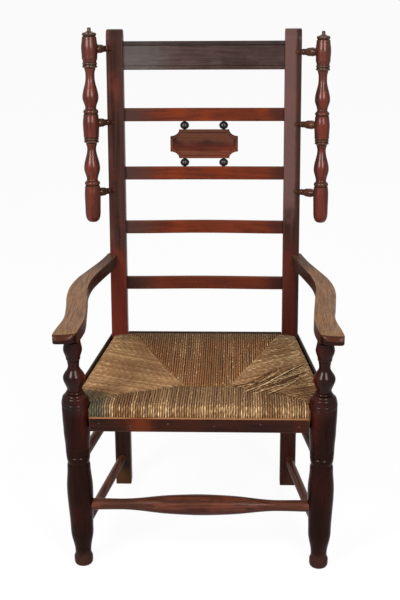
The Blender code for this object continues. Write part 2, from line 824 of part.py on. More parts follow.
def cross_rail(name, half_length, back, tenon_end, posts, cutters):
    """Seat rail across the chair, its ends cut to the posts and tenoned into them."""
    straight = (0, 0, 0)
    piece = block(
        name, (2 * half_length, RAIL_THICKNESS, RAIL_HEIGHT), (0, back, RAIL_MIDDLE), straight,
        ORIGIN, "plain_rail",
    )
    soften(piece, RAIL_EDGE)
    cut(piece, *cutters)
    for side, sign in SIDES:
        reach = RAIL_TENON_LENGTH + 2 * OVERRUN
        place = (sign * (tenon_end - reach / 2), back, RAIL_MIDDLE - RAIL_TENON_STAGGER)
        size = (reach, RAIL_TENON_THICKNESS, RAIL_TENON_HEIGHT)
        join(piece, joint(name + "_" + side, size, place, straight, ORIGIN, posts[side]))
    shade(piece)


def side_rail(side, sign, front, rear, cutters):
    """Seat rail from front to rear post, running in towards the back."""
    length = hypot(SEAT_DEPTH, REAR_POST_OUT - FRONT_POST_OUT)
    turn = (0, 0, -sign * TOE)
    middle = (sign * side_rail_out(SEAT_DEPTH / 2), SEAT_DEPTH / 2, RAIL_MIDDLE)
    piece = block(
        "seat_rail_" + side, (RAIL_THICKNESS, length, RAIL_HEIGHT), middle, turn, ORIGIN,
        "plain_rail",
    )
    soften(piece, RAIL_EDGE)
    cut(piece, *cutters)
    front_face = FRONT_POST_DIAMETER / 2
    rear_face = post_middle(RAIL_MIDDLE) - REAR_POST_THICKNESS / 2
    reach = RAIL_TENON_LENGTH + 2 * OVERRUN
    size = (RAIL_TENON_THICKNESS, reach, RAIL_TENON_HEIGHT)
    for end, back, post in (
        ("front", front_face - RAIL_TENON_LENGTH + reach / 2, front),
        ("rear", rear_face + RAIL_TENON_LENGTH - reach / 2, rear),
    ):
        place = (sign * side_rail_out(back), back, RAIL_MIDDLE + RAIL_TENON_STAGGER)
        join(piece, joint(f"side_rail_{end}_{side}", size, place, turn, ORIGIN, post))
    shade(piece)


def rush_seat(cutters):
    """Rush woven round the four rails: dished on top, open where the rails run through it."""
    front = -(RAIL_THICKNESS / 2 + RUSH_WRAP)
    rear = REAR_RAIL_BACK + RAIL_THICKNESS / 2 + RUSH_WRAP
    wrap = (RAIL_THICKNESS / 2 + RUSH_WRAP) / cos(TOE)
    shape = bmesh.new()
    bmesh.ops.create_cube(shape, size=2)
    bmesh.ops.subdivide_edges(shape, edges=shape.edges, cuts=RUSH_CUTS, use_grid_fill=True)
    bmesh.ops.remove_doubles(shape, verts=shape.verts, dist=MERGE)
    for vertex in shape.verts:
        across, along, level = vertex.co
        back = front + (rear - front) * (along + 1) / 2
        dish = (1 - across**2) * (1 - along**2)
        top = RUSH_TOP - RUSH_SAG * dish
        bottom = RUSH_BOTTOM + RUSH_RISE_BELOW * dish
        vertex.co = (
            across * (side_rail_out(back) + wrap), back, bottom + (top - bottom) * (level + 1) / 2
        )
    mesh = bpy.data.meshes.new("rush_seat")
    shape.to_mesh(mesh)
    shape.free()
    piece = keep("rush_seat", mesh, (0, 0, 0), (0, 0, 0), ORIGIN, "rush")
    soften(piece, RUSH_ROUND, 2)
    length = 2 * (FRONT_POST_OUT + FRONT_POST_DIAMETER)
    section = (RAIL_THICKNESS + 2 * FIT, RAIL_HEIGHT + 2 * FIT)
    for name, back in (("front", 0), ("rear", REAR_RAIL_BACK)):
        tunnel = block(
            f"rush_tunnel_{name}", (length, *section), (0, back, RAIL_MIDDLE), (0, 0, 0), ORIGIN
        )
        cut(piece, tunnel)
    for side, sign in SIDES:
        tunnel = block(
            f"rush_tunnel_{side}", (section[0], SEAT_DEPTH * 2, section[1]),
            (sign * side_rail_out(SEAT_DEPTH / 2), SEAT_DEPTH / 2, RAIL_MIDDLE),
            (0, 0, -sign * TOE), ORIGIN,
        )
        cut(piece, tunnel)
    cut(piece, *cutters)
    shade(piece)


def strip(name, size, place, turn, cutters):
    """Thin strip nailed along the edge of the rush, its ends cut to the posts."""
    piece = block(name, size, place, turn, ORIGIN, "strip")
    soften(piece, STRIP_EDGE)
    cut(piece, *cutters)
    shade(piece)


def edge_strips(front_cutters, rear_cutters):
    """The four strips that cover the edge of the rush."""
    edge = RAIL_THICKNESS / 2 + RUSH_WRAP + FIT
    strip(
        "edge_strip_front",
        (
            2 * (FRONT_POST_OUT - FRONT_POST_DIAMETER / 2 - FIT),
            FRONT_STRIP_THICKNESS,
            FRONT_STRIP_HEIGHT,
        ),
        (0, -edge - FRONT_STRIP_THICKNESS / 2, FRONT_STRIP_TOP - FRONT_STRIP_HEIGHT / 2),
        (0, 0, 0), (),
    )
    height = SIDE_STRIP_TOP - SIDE_STRIP_HEIGHT / 2
    strip(
        "edge_strip_rear",
        (2 * (CLEAR_HALF_WIDTH - FIT), SIDE_STRIP_THICKNESS, SIDE_STRIP_HEIGHT),
        (0, REAR_RAIL_BACK + edge + SIDE_STRIP_THICKNESS / 2, height), (0, 0, 0), (),
    )
    out = edge + SIDE_STRIP_THICKNESS / 2
    length = hypot(SEAT_DEPTH, REAR_POST_OUT - FRONT_POST_OUT)
    for side, sign in SIDES:
        strip(
            "edge_strip_" + side, (SIDE_STRIP_THICKNESS, length, SIDE_STRIP_HEIGHT),
            (
                sign * (side_rail_out(SEAT_DEPTH / 2) + out * cos(TOE)),
                SEAT_DEPTH / 2 - out * sin(TOE),
                height,
            ),
            (0, 0, -sign * TOE), front_cutters + rear_cutters,
        )


def stretcher(name, start, end, start_face, end_face, shares, diameter, finish, posts):
    """Turned bar between two points on the posts' middles, entering both posts."""
    start, end = Vector(start), Vector(end)
    run = end - start
    turn = run.to_track_quat("Z", "Y").to_euler()
    low, high = start_face, run.length - end_face
    tenon = STRETCHER_END_DIAMETER / 2
    bottom, top = low - STRETCHER_TENON, high + STRETCHER_TENON
    shape = profile_of(shares, diameter, lambda share: high + (low - high) * share)
    shape = [(max(radius, tenon), height) for radius, height in shape]
    profile = [(0, top), (tenon, top)] + shape + [(tenon, bottom), (0, bottom)]
    turned(name, profile, SMALL_SEGMENTS, start, turn, ORIGIN, finish)
    direction = run.normalized()
    for end_name, post, tip, way in (
        ("start", posts[0], bottom, 1), ("end", posts[1], top, -1)
    ):
        reach = 2 * STRETCHER_TENON
        middle = start + direction * (tip + way * (reach / 2 - FIT))
        cut(post, pin(
            f"{name}_{end_name}_hole", STRETCHER_END_DIAMETER + 2 * FIT, reach, middle, turn,
            ORIGIN,
        ))


def front_post_radius(height):
    """Radius of a front post at this height, read from its stations."""
    share = height / FRONT_POST_HEIGHT
    stations = FRONT_POST_SHARES
    for (high, wide, _), (low, narrow, _) in zip(stations, stations[1:]):
        if low <= share <= high:
            return FRONT_POST_DIAMETER / 2 * (narrow + (wide - narrow) * (share - low) / (high - low))
    return FRONT_POST_DIAMETER / 2


def stretchers(front_posts, rear_posts):
    """The front stretcher, two on each side and one behind."""
    radius = front_post_radius(FRONT_STRETCHER_HEIGHT)
    stretcher(
        "front_stretcher",
        (-FRONT_POST_OUT, 0, FRONT_STRETCHER_HEIGHT), (FRONT_POST_OUT, 0, FRONT_STRETCHER_HEIGHT),
        radius, radius, FRONT_STRETCHER_SHARES, FRONT_STRETCHER_DIAMETER, "dark_post",
        (front_posts["left"], front_posts["right"]),
    )
    for side, sign in SIDES:
        for level, low, high in (
            ("upper", UPPER_STRETCHER_FRONT, UPPER_STRETCHER_REAR),
            ("lower", LOWER_STRETCHER_FRONT, LOWER_STRETCHER_REAR),
        ):
            stretcher(
                f"side_stretcher_{level}_{side}",
                (sign * FRONT_POST_OUT, 0, low), (sign * REAR_POST_OUT, post_middle(high), high),
                front_post_radius(low), REAR_POST_THICKNESS / 2, STRETCHER_SHARES,
                STRETCHER_DIAMETER, "dark_post", (front_posts[side], rear_posts[side]),
            )
    back = post_middle(REAR_STRETCHER_HEIGHT)
    stretcher(
        "rear_stretcher",
        (-REAR_POST_OUT, back, REAR_STRETCHER_HEIGHT), (REAR_POST_OUT, back, REAR_STRETCHER_HEIGHT),
        REAR_POST_WIDTH / 2, REAR_POST_WIDTH / 2, STRETCHER_SHARES, STRETCHER_DIAMETER,
        "dark_post", (rear_posts["left"], rear_posts["right"]),
    )


def build_chair():
    """Makes every piece of the chair."""
    front_posts = {side: front_post(side, sign) for side, sign in SIDES}
    rear_posts = {side: rear_post(side, sign) for side, sign in SIDES}
    clearances = {side: corner_clearances(side, sign) for side, sign in SIDES}
    front_cutters = tuple(clearances[side][0] for side, sign in SIDES)
    rear_cutters = tuple(clearances[side][1] for side, sign in SIDES)

    crest_rail(rear_posts)
    slats = [
        back_slat(f"back_slat_{number}", up, bow, rear_posts)
        for number, (up, bow) in enumerate((
            (SLAT_1_HEIGHT, SLAT_1_BOW),
            (SLAT_2_HEIGHT, SLAT_2_BOW),
            (SLAT_3_HEIGHT, SLAT_3_BOW),
            (SLAT_4_HEIGHT, SLAT_4_BOW),
        ), 1)
    ]
    tablet_and_beads(slats[0], slats[1])
    for side, sign in SIDES:
        wing(side, sign, rear_posts[side], clearances[side][1])
        arm(side, sign, rear_posts[side], clearances[side][1])
        side_rail(side, sign, front_posts[side], rear_posts[side], clearances[side])

    cross_rail(
        "seat_rail_front", FRONT_POST_OUT, 0,
        FRONT_POST_OUT - FRONT_POST_DIAMETER / 2 + RAIL_TENON_LENGTH, front_posts, front_cutters,
    )
    cross_rail(
        "seat_rail_rear", CLEAR_HALF_WIDTH - FIT, REAR_RAIL_BACK,
        CLEAR_HALF_WIDTH + RAIL_TENON_LENGTH, rear_posts, (),
    )
    rush_seat(front_cutters + rear_cutters)
    edge_strips(front_cutters, rear_cutters)
    stretchers(front_posts, rear_posts)


build_chair()
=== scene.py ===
"""Visual model of a ladder-back armchair with a rush seat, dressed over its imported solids.

Metres, +Z up, the sitter faces -Y, left is -X. Turned pieces are spun from a profile, sawn
pieces are drawn out from a section, and the rush is laid strand by strand over the rails.
"""

import sys
import logging
import math
import random
from dataclasses import dataclass, replace
from enum import Enum
from typing import Sequence

import bmesh
import bpy
from mathutils import Matrix, Vector, noise
from mathutils.geometry import interpolate_bezier


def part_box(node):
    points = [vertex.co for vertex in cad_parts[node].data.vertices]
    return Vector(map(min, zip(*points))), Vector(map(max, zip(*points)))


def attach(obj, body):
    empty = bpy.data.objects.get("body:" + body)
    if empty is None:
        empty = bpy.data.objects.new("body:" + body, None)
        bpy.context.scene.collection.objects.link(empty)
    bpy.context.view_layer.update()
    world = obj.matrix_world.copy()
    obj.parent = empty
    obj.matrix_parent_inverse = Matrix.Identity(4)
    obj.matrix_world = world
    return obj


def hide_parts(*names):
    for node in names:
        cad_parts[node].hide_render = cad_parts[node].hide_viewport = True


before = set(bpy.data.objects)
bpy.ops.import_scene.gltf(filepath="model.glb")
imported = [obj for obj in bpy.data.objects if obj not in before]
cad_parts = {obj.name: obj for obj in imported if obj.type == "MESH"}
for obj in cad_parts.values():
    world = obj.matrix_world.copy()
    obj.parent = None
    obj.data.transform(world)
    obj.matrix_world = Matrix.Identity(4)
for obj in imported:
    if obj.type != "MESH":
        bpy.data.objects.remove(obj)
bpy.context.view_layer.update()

MM = 0.001

log = logging.getLogger("armchair")

Tone = tuple[float, float, float, float]
Point = tuple[float, float]
Spot = tuple[float, float, float]

WHITE: Tone = (1.0, 1.0, 1.0, 1.0)


def tone(red: float, green: float, blue: float) -> Tone:
    """Turns a colour as it is seen on a screen, 0 to 255, into the light it stands for.

    Args:
        red: Red share as seen.
        green: Green share as seen.
        blue: Blue share as seen.

    Returns:
        The linear colour with full alpha.
    """
    seen = [share / 255 for share in (red, green, blue)]
    light = [v / 12.92 if v <= 0.04045 else ((v + 0.055) / 1.055) ** 2.4 for v in seen]
    return (*light, 1.0)


def smooth_through(points: Sequence[Sequence[float]], steps: int) -> list[tuple[float, ...]]:
    """Draws a smooth curve through some points.

    Args:
        points: The points, all of two or all of three numbers.
        steps: How many pieces each stretch between two points gets.

    Returns:
        The points of the curve, the given ones among them.
    """
    knots = [Vector(point) for point in points]
    befores, afters = knots[:1] + knots, knots[2:] + knots[-1:]
    made = [knots[0]]
    for before, start, end, after in zip(befores, knots, knots[1:], afters):
        leaving = start + (end - before) / 6
        arriving = end - (after - start) / 6
        made += interpolate_bezier(start, leaving, arriving, end, steps + 1)[1:]
    return [tuple(point) for point in made]


def along(points: Sequence[Point], share: float) -> float:
    """Reads a curve of (place, value) points at one place.

    Args:
        points: The curve's points, with growing places.
        share: The place to read.

    Returns:
        The value there, straight between points.
    """
    for (low, first), (high, second) in zip(points, points[1:]):
        if share <= high:
            return first + (second - first) * max(0.0, share - low) / (high - low)
    return points[-1][1]


def spread(low: float, high: float, steps: int) -> list[float]:
    """Places at even steps from low to high, both included."""
    return [low + (high - low) * step / steps for step in range(steps + 1)]


def aimed(run: Vector) -> Matrix:
    """Turns a piece that hangs down from the origin so that it lies along run."""
    return (-run).to_track_quat("Z", "Y").to_matrix().to_4x4()


def middle_of(node: str) -> Spot:
    """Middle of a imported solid's box."""
    return tuple((low + high) / 2 for low, high in zip(*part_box(node)))


class Side(Enum):
    """The chair's two sides, by the sign of X."""

    LEFT = -1
    RIGHT = 1

    @property
    def word(self) -> str:
        """The side's word in the names of pieces."""
        return self.name.lower()


class Run(Enum):
    """The way the grain runs in a piece, as how much each axis is shrunk in its pattern."""

    UP = (1.0, 1.0, 0.045)
    ACROSS = (0.045, 1.0, 1.0)
    BACK = (1.0, 0.045, 1.0)


class Where(Enum):
    """What a zone of a finish is measured along."""

    RIGHT = 0
    BACK = 1
    UP = 2
    FACING_RIGHT = 3
    FACING_BACK = 4
    FACING_UP = 5

    @property
    def facing(self) -> bool:
        """Whether it is a way that the surface faces, and not a place."""
        return self.value >= Where.FACING_RIGHT.value

    @property
    def axis(self) -> int:
        """The axis that it is measured along."""
        return self.value % Where.FACING_RIGHT.value


class Cut(Enum):
    """How a turner's profile reaches a station from the one before."""

    LINE = "line"
    CURVE = "curve"


LINE, CURVE = Cut.LINE, Cut.CURVE


# Materials


class Signal:
    """A number on its way through a material. The usual operators on it add Math nodes."""

    def __init__(self, recipe: "Recipe", socket: bpy.types.NodeSocket) -> None:
        """Wraps the socket that carries the number."""
        self.recipe = recipe
        self.socket = socket

    def _math(self, operation: str, *values: "float | Signal") -> "Signal":
        """Adds a Math node on these values."""
        return self.recipe.signal("ShaderNodeMath", dict(enumerate(values)), operation=operation)

    def __add__(self, other: "float | Signal") -> "Signal":
        """self + other."""
        return self._math("ADD", self, other)

    __radd__ = __add__

    def __sub__(self, other: "float | Signal") -> "Signal":
        """self - other."""
        return self._math("SUBTRACT", self, other)

    def __rsub__(self, other: float) -> "Signal":
        """other - self."""
        return self._math("SUBTRACT", other, self)

    def __mul__(self, other: "float | Signal") -> "Signal":
        """self * other."""
        return self._math("MULTIPLY", self, other)

    __rmul__ = __mul__

    def __abs__(self) -> "Signal":
        """abs(self)."""
        return self._math("ABSOLUTE", self)

    def sine(self) -> "Signal":
        """Sine of the number."""
        return self._math("SINE", self)

    def rising(self, low: float, high: float) -> "Signal":
        """Goes smoothly from 0 where the number is low to 1 where it is high.

        Args:
            low: Where it is still 0.
            high: Where it reaches 1.

        Returns:
            The mask.
        """
        if low > high:
            return 1 - self.rising(high, low)
        return self.recipe.signal(
            "ShaderNodeMapRange", {0: self, 1: low, 2: high}, interpolation_type="SMOOTHSTEP"
        )


class Recipe:
    """The node tree of one material or world, with one method that adds any node."""

    def __init__(self, owner: bpy.types.Material | bpy.types.World) -> None:
        """Starts an empty tree in its owner."""
        owner.use_nodes = True
        self.owner = owner
        self.tree = owner.node_tree
        self.tree.nodes.clear()

    def node(self, kind: str, sockets: dict | None = None, **settings: object) -> bpy.types.Node:
        """Adds a node.

        Args:
            kind: Its Blender type.
            sockets: What its inputs get, by name or number: values, Signals or sockets.
            settings: Its properties, which are set first.

        Returns:
            The node.
        """
        made = self.tree.nodes.new(kind)
        for key, value in settings.items():
            setattr(made, key, value)
        for key, value in (sockets or {}).items():
            if isinstance(value, Signal):
                value = value.socket
            if isinstance(value, bpy.types.NodeSocket):
                self.tree.links.new(value, made.inputs[key])
            else:
                made.inputs[key].default_value = value
        return made

    def signal(
        self, kind: str, sockets: dict | None = None, output: int | str = 0, **settings: object
    ) -> Signal:
        """Adds a node and wraps one of its outputs as a number."""
        return Signal(self, self.node(kind, sockets, **settings).outputs[output])

    def attribute(self, name: str) -> Signal:
        """A number that the piece's own mesh carries."""
        return self.signal("ShaderNodeAttribute", output="Fac", attribute_name=name)

    def axis(self, vector: bpy.types.NodeSocket, axis: int) -> Signal:
        """One axis of a place or a direction."""
        return self.signal("ShaderNodeSeparateXYZ", {0: vector}, axis)

    def normal(self) -> bpy.types.NodeSocket:
        """The way the surface faces."""
        return self.node("ShaderNodeNewGeometry").outputs["Normal"]

    def seen(self) -> Signal:
        """1 for the camera's and the reflections' view, 0 for light on its way to a piece."""
        rays = self.node("ShaderNodeLightPath").outputs
        camera, glossy, clear = (
            Signal(self, rays[f"Is {kind} Ray"]) for kind in ("Camera", "Glossy", "Transmission")
        )
        return (camera + glossy + clear).rising(0.0, 0.9)

    def noise(
        self, place: bpy.types.NodeSocket, scale: float, detail: float = 2.0, swirl: float = 0.0
    ) -> Signal:
        """Cloudy noise between 0 and 1.

        Args:
            place: Where it is read.
            scale: Clouds to the metre.
            detail: How much finer noise rides on it.
            swirl: How far it is stirred.

        Returns:
            The noise.
        """
        sockets = {"Vector": place, "Scale": scale, "Detail": detail, "Distortion": swirl}
        return self.signal("ShaderNodeTexNoise", sockets)

    def mix(
        self, share: float | Signal, first: object, second: object, blend: str = "MIX"
    ) -> bpy.types.NodeSocket:
        """Mixes two colours.

        Args:
            share: How much of the second one shows.
            first: The first colour, or the socket that brings it.
            second: The second colour.
            blend: Blender's name for the way they mix.

        Returns:
            The socket with the mixed colour.
        """
        sockets = {0: share, 6: first, 7: second}
        node = self.node(
            "ShaderNodeMix", sockets, data_type="RGBA", blend_type=blend, clamp_factor=True
        )
        return node.outputs[2]

    def place(self, shrink: Sequence[float] = (1, 1, 1), lean: float = 0) -> bpy.types.NodeSocket:
        """Object coordinates, turned back by a lean and then shrunk along the grain.

        Args:
            shrink: Factor on each axis.
            lean: How far the piece leans back, in radians.

        Returns:
            The socket with the place in the pattern.
        """
        place = self.node("ShaderNodeTexCoord").outputs["Object"]
        if lean:
            turned = {"Vector": place, "Rotation": (lean, 0, 0)}
            place = self.node("ShaderNodeMapping", turned).outputs[0]
        return self.node("ShaderNodeMapping", {"Vector": place, "Scale": shrink}).outputs[0]

    def close(
        self, shader: bpy.types.Node, kind: str = "Material"
    ) -> bpy.types.Material | bpy.types.World:
        """Leads the last shader to the output and hands over the material or world."""
        self.node(f"ShaderNodeOutput{kind}", {"Surface": shader.outputs[0]})
        return self.owner

    def finish(self, sockets: dict, relief: Signal, depth: float) -> bpy.types.Material:
        """Closes a material with a Principled shader.

        Args:
            sockets: What the shader's inputs get.
            relief: Height of the surface detail.
            depth: How high, in metres, that detail stands.

        Returns:
            The material.
        """
        bump = self.node("ShaderNodeBump", {"Height": relief, "Distance": depth}).outputs[0]
        return self.close(self.node("ShaderNodeBsdfPrincipled", {**sockets, "Normal": bump}))


@dataclass(frozen=True)
class Zone:
    """A stretch of a piece whose colour differs.

    The mask is full within inner of the centre and gone past outer, or the other way round
    where outer is the smaller. ragged frays that end by noise, as a share of the way between.
    above and below are heights that cut the zone off, over a length of fade, and wander is how
    far noise moves them.
    """

    where: Where
    centre: float
    inner: float
    outer: float
    colour: Tone
    amount: float = 1.0
    ragged: float = 0.25
    above: float | None = None
    below: float | None = None
    fade: float = 0.06
    wander: float = 0.08

    def mask(self, recipe: Recipe, plain: bpy.types.NodeSocket, fray: Signal) -> Signal:
        """Where the zone shows.

        Args:
            recipe: The material's nodes.
            plain: Object coordinates.
            fray: Noise about 0 that frays the ends.

        Returns:
            The mask, which reaches the zone's amount.
        """
        source = recipe.normal() if self.where.facing else plain
        spread_out = 2 * self.ragged * abs(self.outer - self.inner)
        reach = abs(recipe.axis(source, self.where.axis) - self.centre) + fray * spread_out
        mask = reach.rising(self.outer, self.inner) * self.amount
        height = recipe.axis(plain, Where.UP.axis) + fray * self.wander
        if self.above is not None:
            mask = mask * height.rising(self.above, self.above + self.fade)
        if self.below is not None:
            mask = mask * height.rising(self.below, self.below - self.fade)
        return mask


@dataclass(frozen=True)
class Wood:
    """Stained, waxed and worn wood.

    The figure runs from deep to stain, with blotches of glow. worn shows on edges, and corners
    and grooves are darker where the mesh is hollow. figure, fibres, blotches, mottling and fraying
    are clouds to the metre, and a band is where a noise starts and ends to count. The coat lies on
    faces that look ahead or back, and below a height of dull_below only dull_share of it is left.
    """

    name: str
    deep: Tone
    stain: Tone
    glow: Tone
    worn: Tone
    hollow_tone: Tone = tone(22, 13, 10)
    glow_share: float = 0.5
    wear: float = 0.5
    dirt: float = 0.85
    grain: float = 0.12
    relief: float = 0.00012
    roughness: float = 0.34
    specular: float = 0.03
    tint: Tone = (1.0, 0.6, 0.5, 1.0)
    coat: float = 0.0
    coat_roughness: float = 0.2
    dull_below: float | None = None
    dull_share: float = 0.35
    dull_blend: float = 0.02
    zones: tuple[Zone, ...] = ()
    figure: float = 140
    fibres: float = 900
    blotches: float = 11
    mottling: float = 60
    fraying: float = 34
    figure_band: Point = (0.32, 0.68)
    glow_band: Point = (0.48, 0.66)
    worn_band: Point = (0.16, 0.5)
    dirt_band: Point = (0.08, 0.4)
    coat_band: Point = (0.92, 0.5)

    def material(self, run: Run, lean: float = 0.0) -> bpy.types.Material:
        """Builds the finish for pieces whose grain runs one way.

        Args:
            run: The way of the grain.
            lean: How far such pieces lean back, in radians.

        Returns:
            The material.
        """
        recipe = Recipe(bpy.data.materials.new(f"{self.name}_{run.name.lower()}"))
        grained, plain = recipe.place(run.value, lean), recipe.place()
        figure = recipe.noise(grained, self.figure, 4, 0.6)
        fibres = recipe.noise(grained, self.fibres, 3)
        blotch = recipe.noise(plain, self.blotches, 3, 0.4)
        mottle = recipe.noise(plain, self.mottling, 4)
        fray = recipe.noise(plain, self.fraying, 5) - 0.5
        edge = recipe.attribute("edge")
        # Darker where the mesh is hollow, in corners and grooves.
        dirt = (0 - edge + (mottle - 0.5) * 0.3).rising(*self.dirt_band) * self.dirt
        colour = recipe.mix(figure.rising(*self.figure_band), self.deep, self.stain)
        colour = recipe.mix(blotch.rising(*self.glow_band) * self.glow_share, colour, self.glow)
        for zone in self.zones:
            colour = recipe.mix(zone.mask(recipe, plain, fray), colour, zone.colour)
        rubbed = (edge + fray * 0.5).rising(*self.worn_band) * self.wear
        colour = recipe.mix(rubbed, colour, self.worn)
        colour = recipe.mix(dirt, colour, self.hollow_tone)
        shade = 1 + (fibres - 0.5) * (2 * self.grain) + (mottle - 0.5) * self.grain
        grey = recipe.node("ShaderNodeCombineXYZ", {0: shade, 1: shade, 2: shade}).outputs[0]
        uneven = (mottle - 0.5) * 0.16 + (blotch - 0.5) * 0.14 + dirt * 0.2
        sockets = {
            "Base Color": recipe.mix(1.0, colour, grey, "MULTIPLY"),
            "Roughness": self.roughness + uneven,
            "Specular IOR Level": self.specular,
            "Specular Tint": self.tint,
            "Coat Weight": self._gloss(recipe, plain),
            "Coat Roughness": self.coat_roughness,
        }
        return recipe.finish(sockets, fibres * 0.6 + figure * 0.4 + mottle * 0.25, self.relief)

    def _gloss(self, recipe: Recipe, plain: bpy.types.NodeSocket) -> Signal:
        """How much coat there is: none on faces that look aside, little below dull_below.

        Args:
            recipe: The material's nodes.
            plain: Object coordinates.

        Returns:
            The coat's weight.
        """
        aside = abs(recipe.axis(recipe.normal(), Where.RIGHT.axis))
        gloss = aside.rising(*self.coat_band) * self.coat
        if self.dull_below is None:
            return gloss
        height = recipe.axis(plain, Where.UP.axis)
        upper = height.rising(self.dull_below - self.dull_blend, self.dull_below)
        return gloss * (upper * (1 - self.dull_share) + self.dull_share)


@dataclass(frozen=True)
class Rush:
    """Twisted rush, read along each strand from its own map.

    The map's U runs round the strand, a quarter of it to the top, and its V is a length in
    metres. twist is the length of one turn. dust lies on the rear of the seat, between the two
    places of dust_back.
    """

    name: str = "rush"
    # Pale of dry rush, also the painted highlight where strands wrap over the rails.
    dry: Tone = tone(246, 214, 164)
    tan: Tone = tone(208, 166, 116)
    brown: Tone = tone(112, 78, 48)
    red: Tone = tone(140, 92, 56)
    grey: Tone = tone(84, 78, 60)
    shadow: Tone = tone(34, 22, 14)
    roughness: float = 0.62
    specular: float = 0.08
    relief: float = 0.0006
    twist: float = 0.014
    top: float = 0.25
    patches: float = 16
    fibre_scale: tuple[float, float, float] = (9, 70, 1)
    dust: float = 0.5
    dust_back: Point = (0.08, 0.15)

    def material(self) -> bpy.types.Material:
        """Builds the finish from the strands' map and attributes.

        Returns:
            The material.
        """
        recipe = Recipe(bpy.data.materials.new(self.name))
        place = recipe.place()
        strand_map = recipe.node("ShaderNodeUVMap", uv_map="strand_map").outputs[0]
        around, length = recipe.axis(strand_map, 0), recipe.axis(strand_map, 1)
        scaled = {"Vector": strand_map, "Scale": self.fibre_scale}
        stretched = recipe.node("ShaderNodeMapping", scaled).outputs[0]
        fibre = recipe.noise(stretched, 1, 3, 0.8)
        faded = recipe.noise(stretched, 2.3, 2, 0.6)
        patch = recipe.noise(place, self.patches, 3, 0.5)
        strand, reddish, greyish, dry, even = (
            recipe.attribute(name) for name in ("strand", "reddish", "greyish", "dry", "even")
        )
        turns = (around * (2 * math.tau) + length * (math.tau / self.twist)).sine()
        # Painted shade: the sides of each strand, away from its top, darken towards shadow.
        strand_side_shade = abs(around - self.top).rising(0.03, 0.18)
        contrast = 1 - even * 0.5
        colour = recipe.mix(strand.rising(0.05, 0.95), self.brown, self.tan)
        colour = recipe.mix(reddish * patch.rising(0.3, 0.6), colour, self.red)
        colour = recipe.mix(faded.rising(0.5, 0.36) * 0.65, colour, self.brown)
        # Pale fibres of dry rush, and a painted highlight on strands over the rails.
        pale_and_highlight = (fibre * 1.3 + strand * 0.3 + dry * 0.25).rising(0.84, 1.08)
        colour = recipe.mix(pale_and_highlight * contrast * 0.8, colour, self.dry)
        back = recipe.axis(place, Where.BACK.axis)
        dusty = greyish + back.rising(*self.dust_back) * self.dust
        colour = recipe.mix(dusty * patch.rising(0.2, 0.55), colour, self.grey)
        colour = recipe.mix(turns.rising(-0.2, 0.9) * 0.3, colour, self.brown, "MULTIPLY")
        sockets = {
            "Base Color": recipe.mix(strand_side_shade * contrast * 0.85, colour, self.shadow),
            "Roughness": self.roughness + (fibre - 0.5) * 0.2,
            "Specular IOR Level": self.specular,
        }
        return recipe.finish(sockets, fibre - turns * 0.6, self.relief)


@dataclass(frozen=True)
class Pale:
    """The floor, which the camera and reflections see as white with a soft shadow."""

    name: str = "studio_floor"
    colour: Tone = (0.86, 0.86, 0.86, 1)
    cloud_colour: Tone = (0.8, 0.8, 0.8, 1)
    clouds: float = 3
    cloud_share: float = 0.04
    kept_shadow: float = 0.06

    def material(self) -> bpy.types.Material:
        """Builds the floor's finish.

        Returns:
            The material.
        """
        recipe = Recipe(bpy.data.materials.new(self.name))
        cloud = recipe.noise(recipe.place(), self.clouds, 2) * self.cloud_share
        colour = recipe.mix(cloud, self.colour, self.cloud_colour)
        matt = recipe.node("ShaderNodeBsdfDiffuse", {"Color": colour}).outputs[0]
        white = recipe.node("ShaderNodeEmission", {"Color": WHITE, "Strength": 1.0}).outputs[0]
        share = recipe.seen() * (1 - self.kept_shadow)
        return recipe.close(recipe.node("ShaderNodeMixShader", {0: share, 1: matt, 2: white}))


# Finishes of this chair

OLD_RED = Wood(
    "old_red", deep=tone(54, 22, 15), stain=tone(80, 34, 22), glow=tone(92, 36, 22),
    worn=tone(104, 62, 44), wear=0.4, coat=0.11,
    zones=(Zone(Where.UP, 0.91, 0.03, 0.055, tone(34, 18, 16), 0.9),),
)
SPINDLE = Wood(
    "spindle_red", deep=tone(48, 19, 13), stain=tone(86, 33, 20), glow=tone(100, 38, 20),
    worn=tone(58, 42, 26), hollow_tone=tone(14, 8, 5), wear=0.85, relief=0.000006, roughness=0.29,
    specular=0.12, tint=(1.0, 0.5, 0.4, 1.0), coat=0.26, coat_roughness=0.24,
    zones=(
        Zone(Where.UP, 1.2, 0.062, 0.075, tone(50, 38, 28), 0.9),
        Zone(Where.UP, 1.09, 0.045, 0.075, tone(70, 36, 28), 0.5, 0.4),
        # Painted shade: the sides of each spindle, where it turns away from the front, are
        # darkened.
        Zone(Where.FACING_BACK, 0.0, 0.5, 0.9, tone(46, 22, 13), 0.75, 0.15),
    ),
)
SLAT = Wood(
    "slat_red", deep=tone(66, 26, 14), stain=tone(90, 37, 20), glow=tone(104, 40, 17),
    worn=tone(108, 62, 42), wear=0.25, roughness=0.32, coat=0.12,
    zones=(
        Zone(Where.RIGHT, 0.03, 0.20, 0.125, tone(54, 39, 35), 0.85, 0.35),
        Zone(Where.RIGHT, 0.22, 0.04, 0.075, tone(50, 25, 20), 0.75, 0.3),
        Zone(Where.UP, 0.533, 0.04, 0.08, tone(66, 27, 15), 0.5, 0.3),
        Zone(Where.RIGHT, 0.0, 0.19, 0.11, tone(28, 15, 12), 0.7, 0.2, None, 0.62),
    ),
)
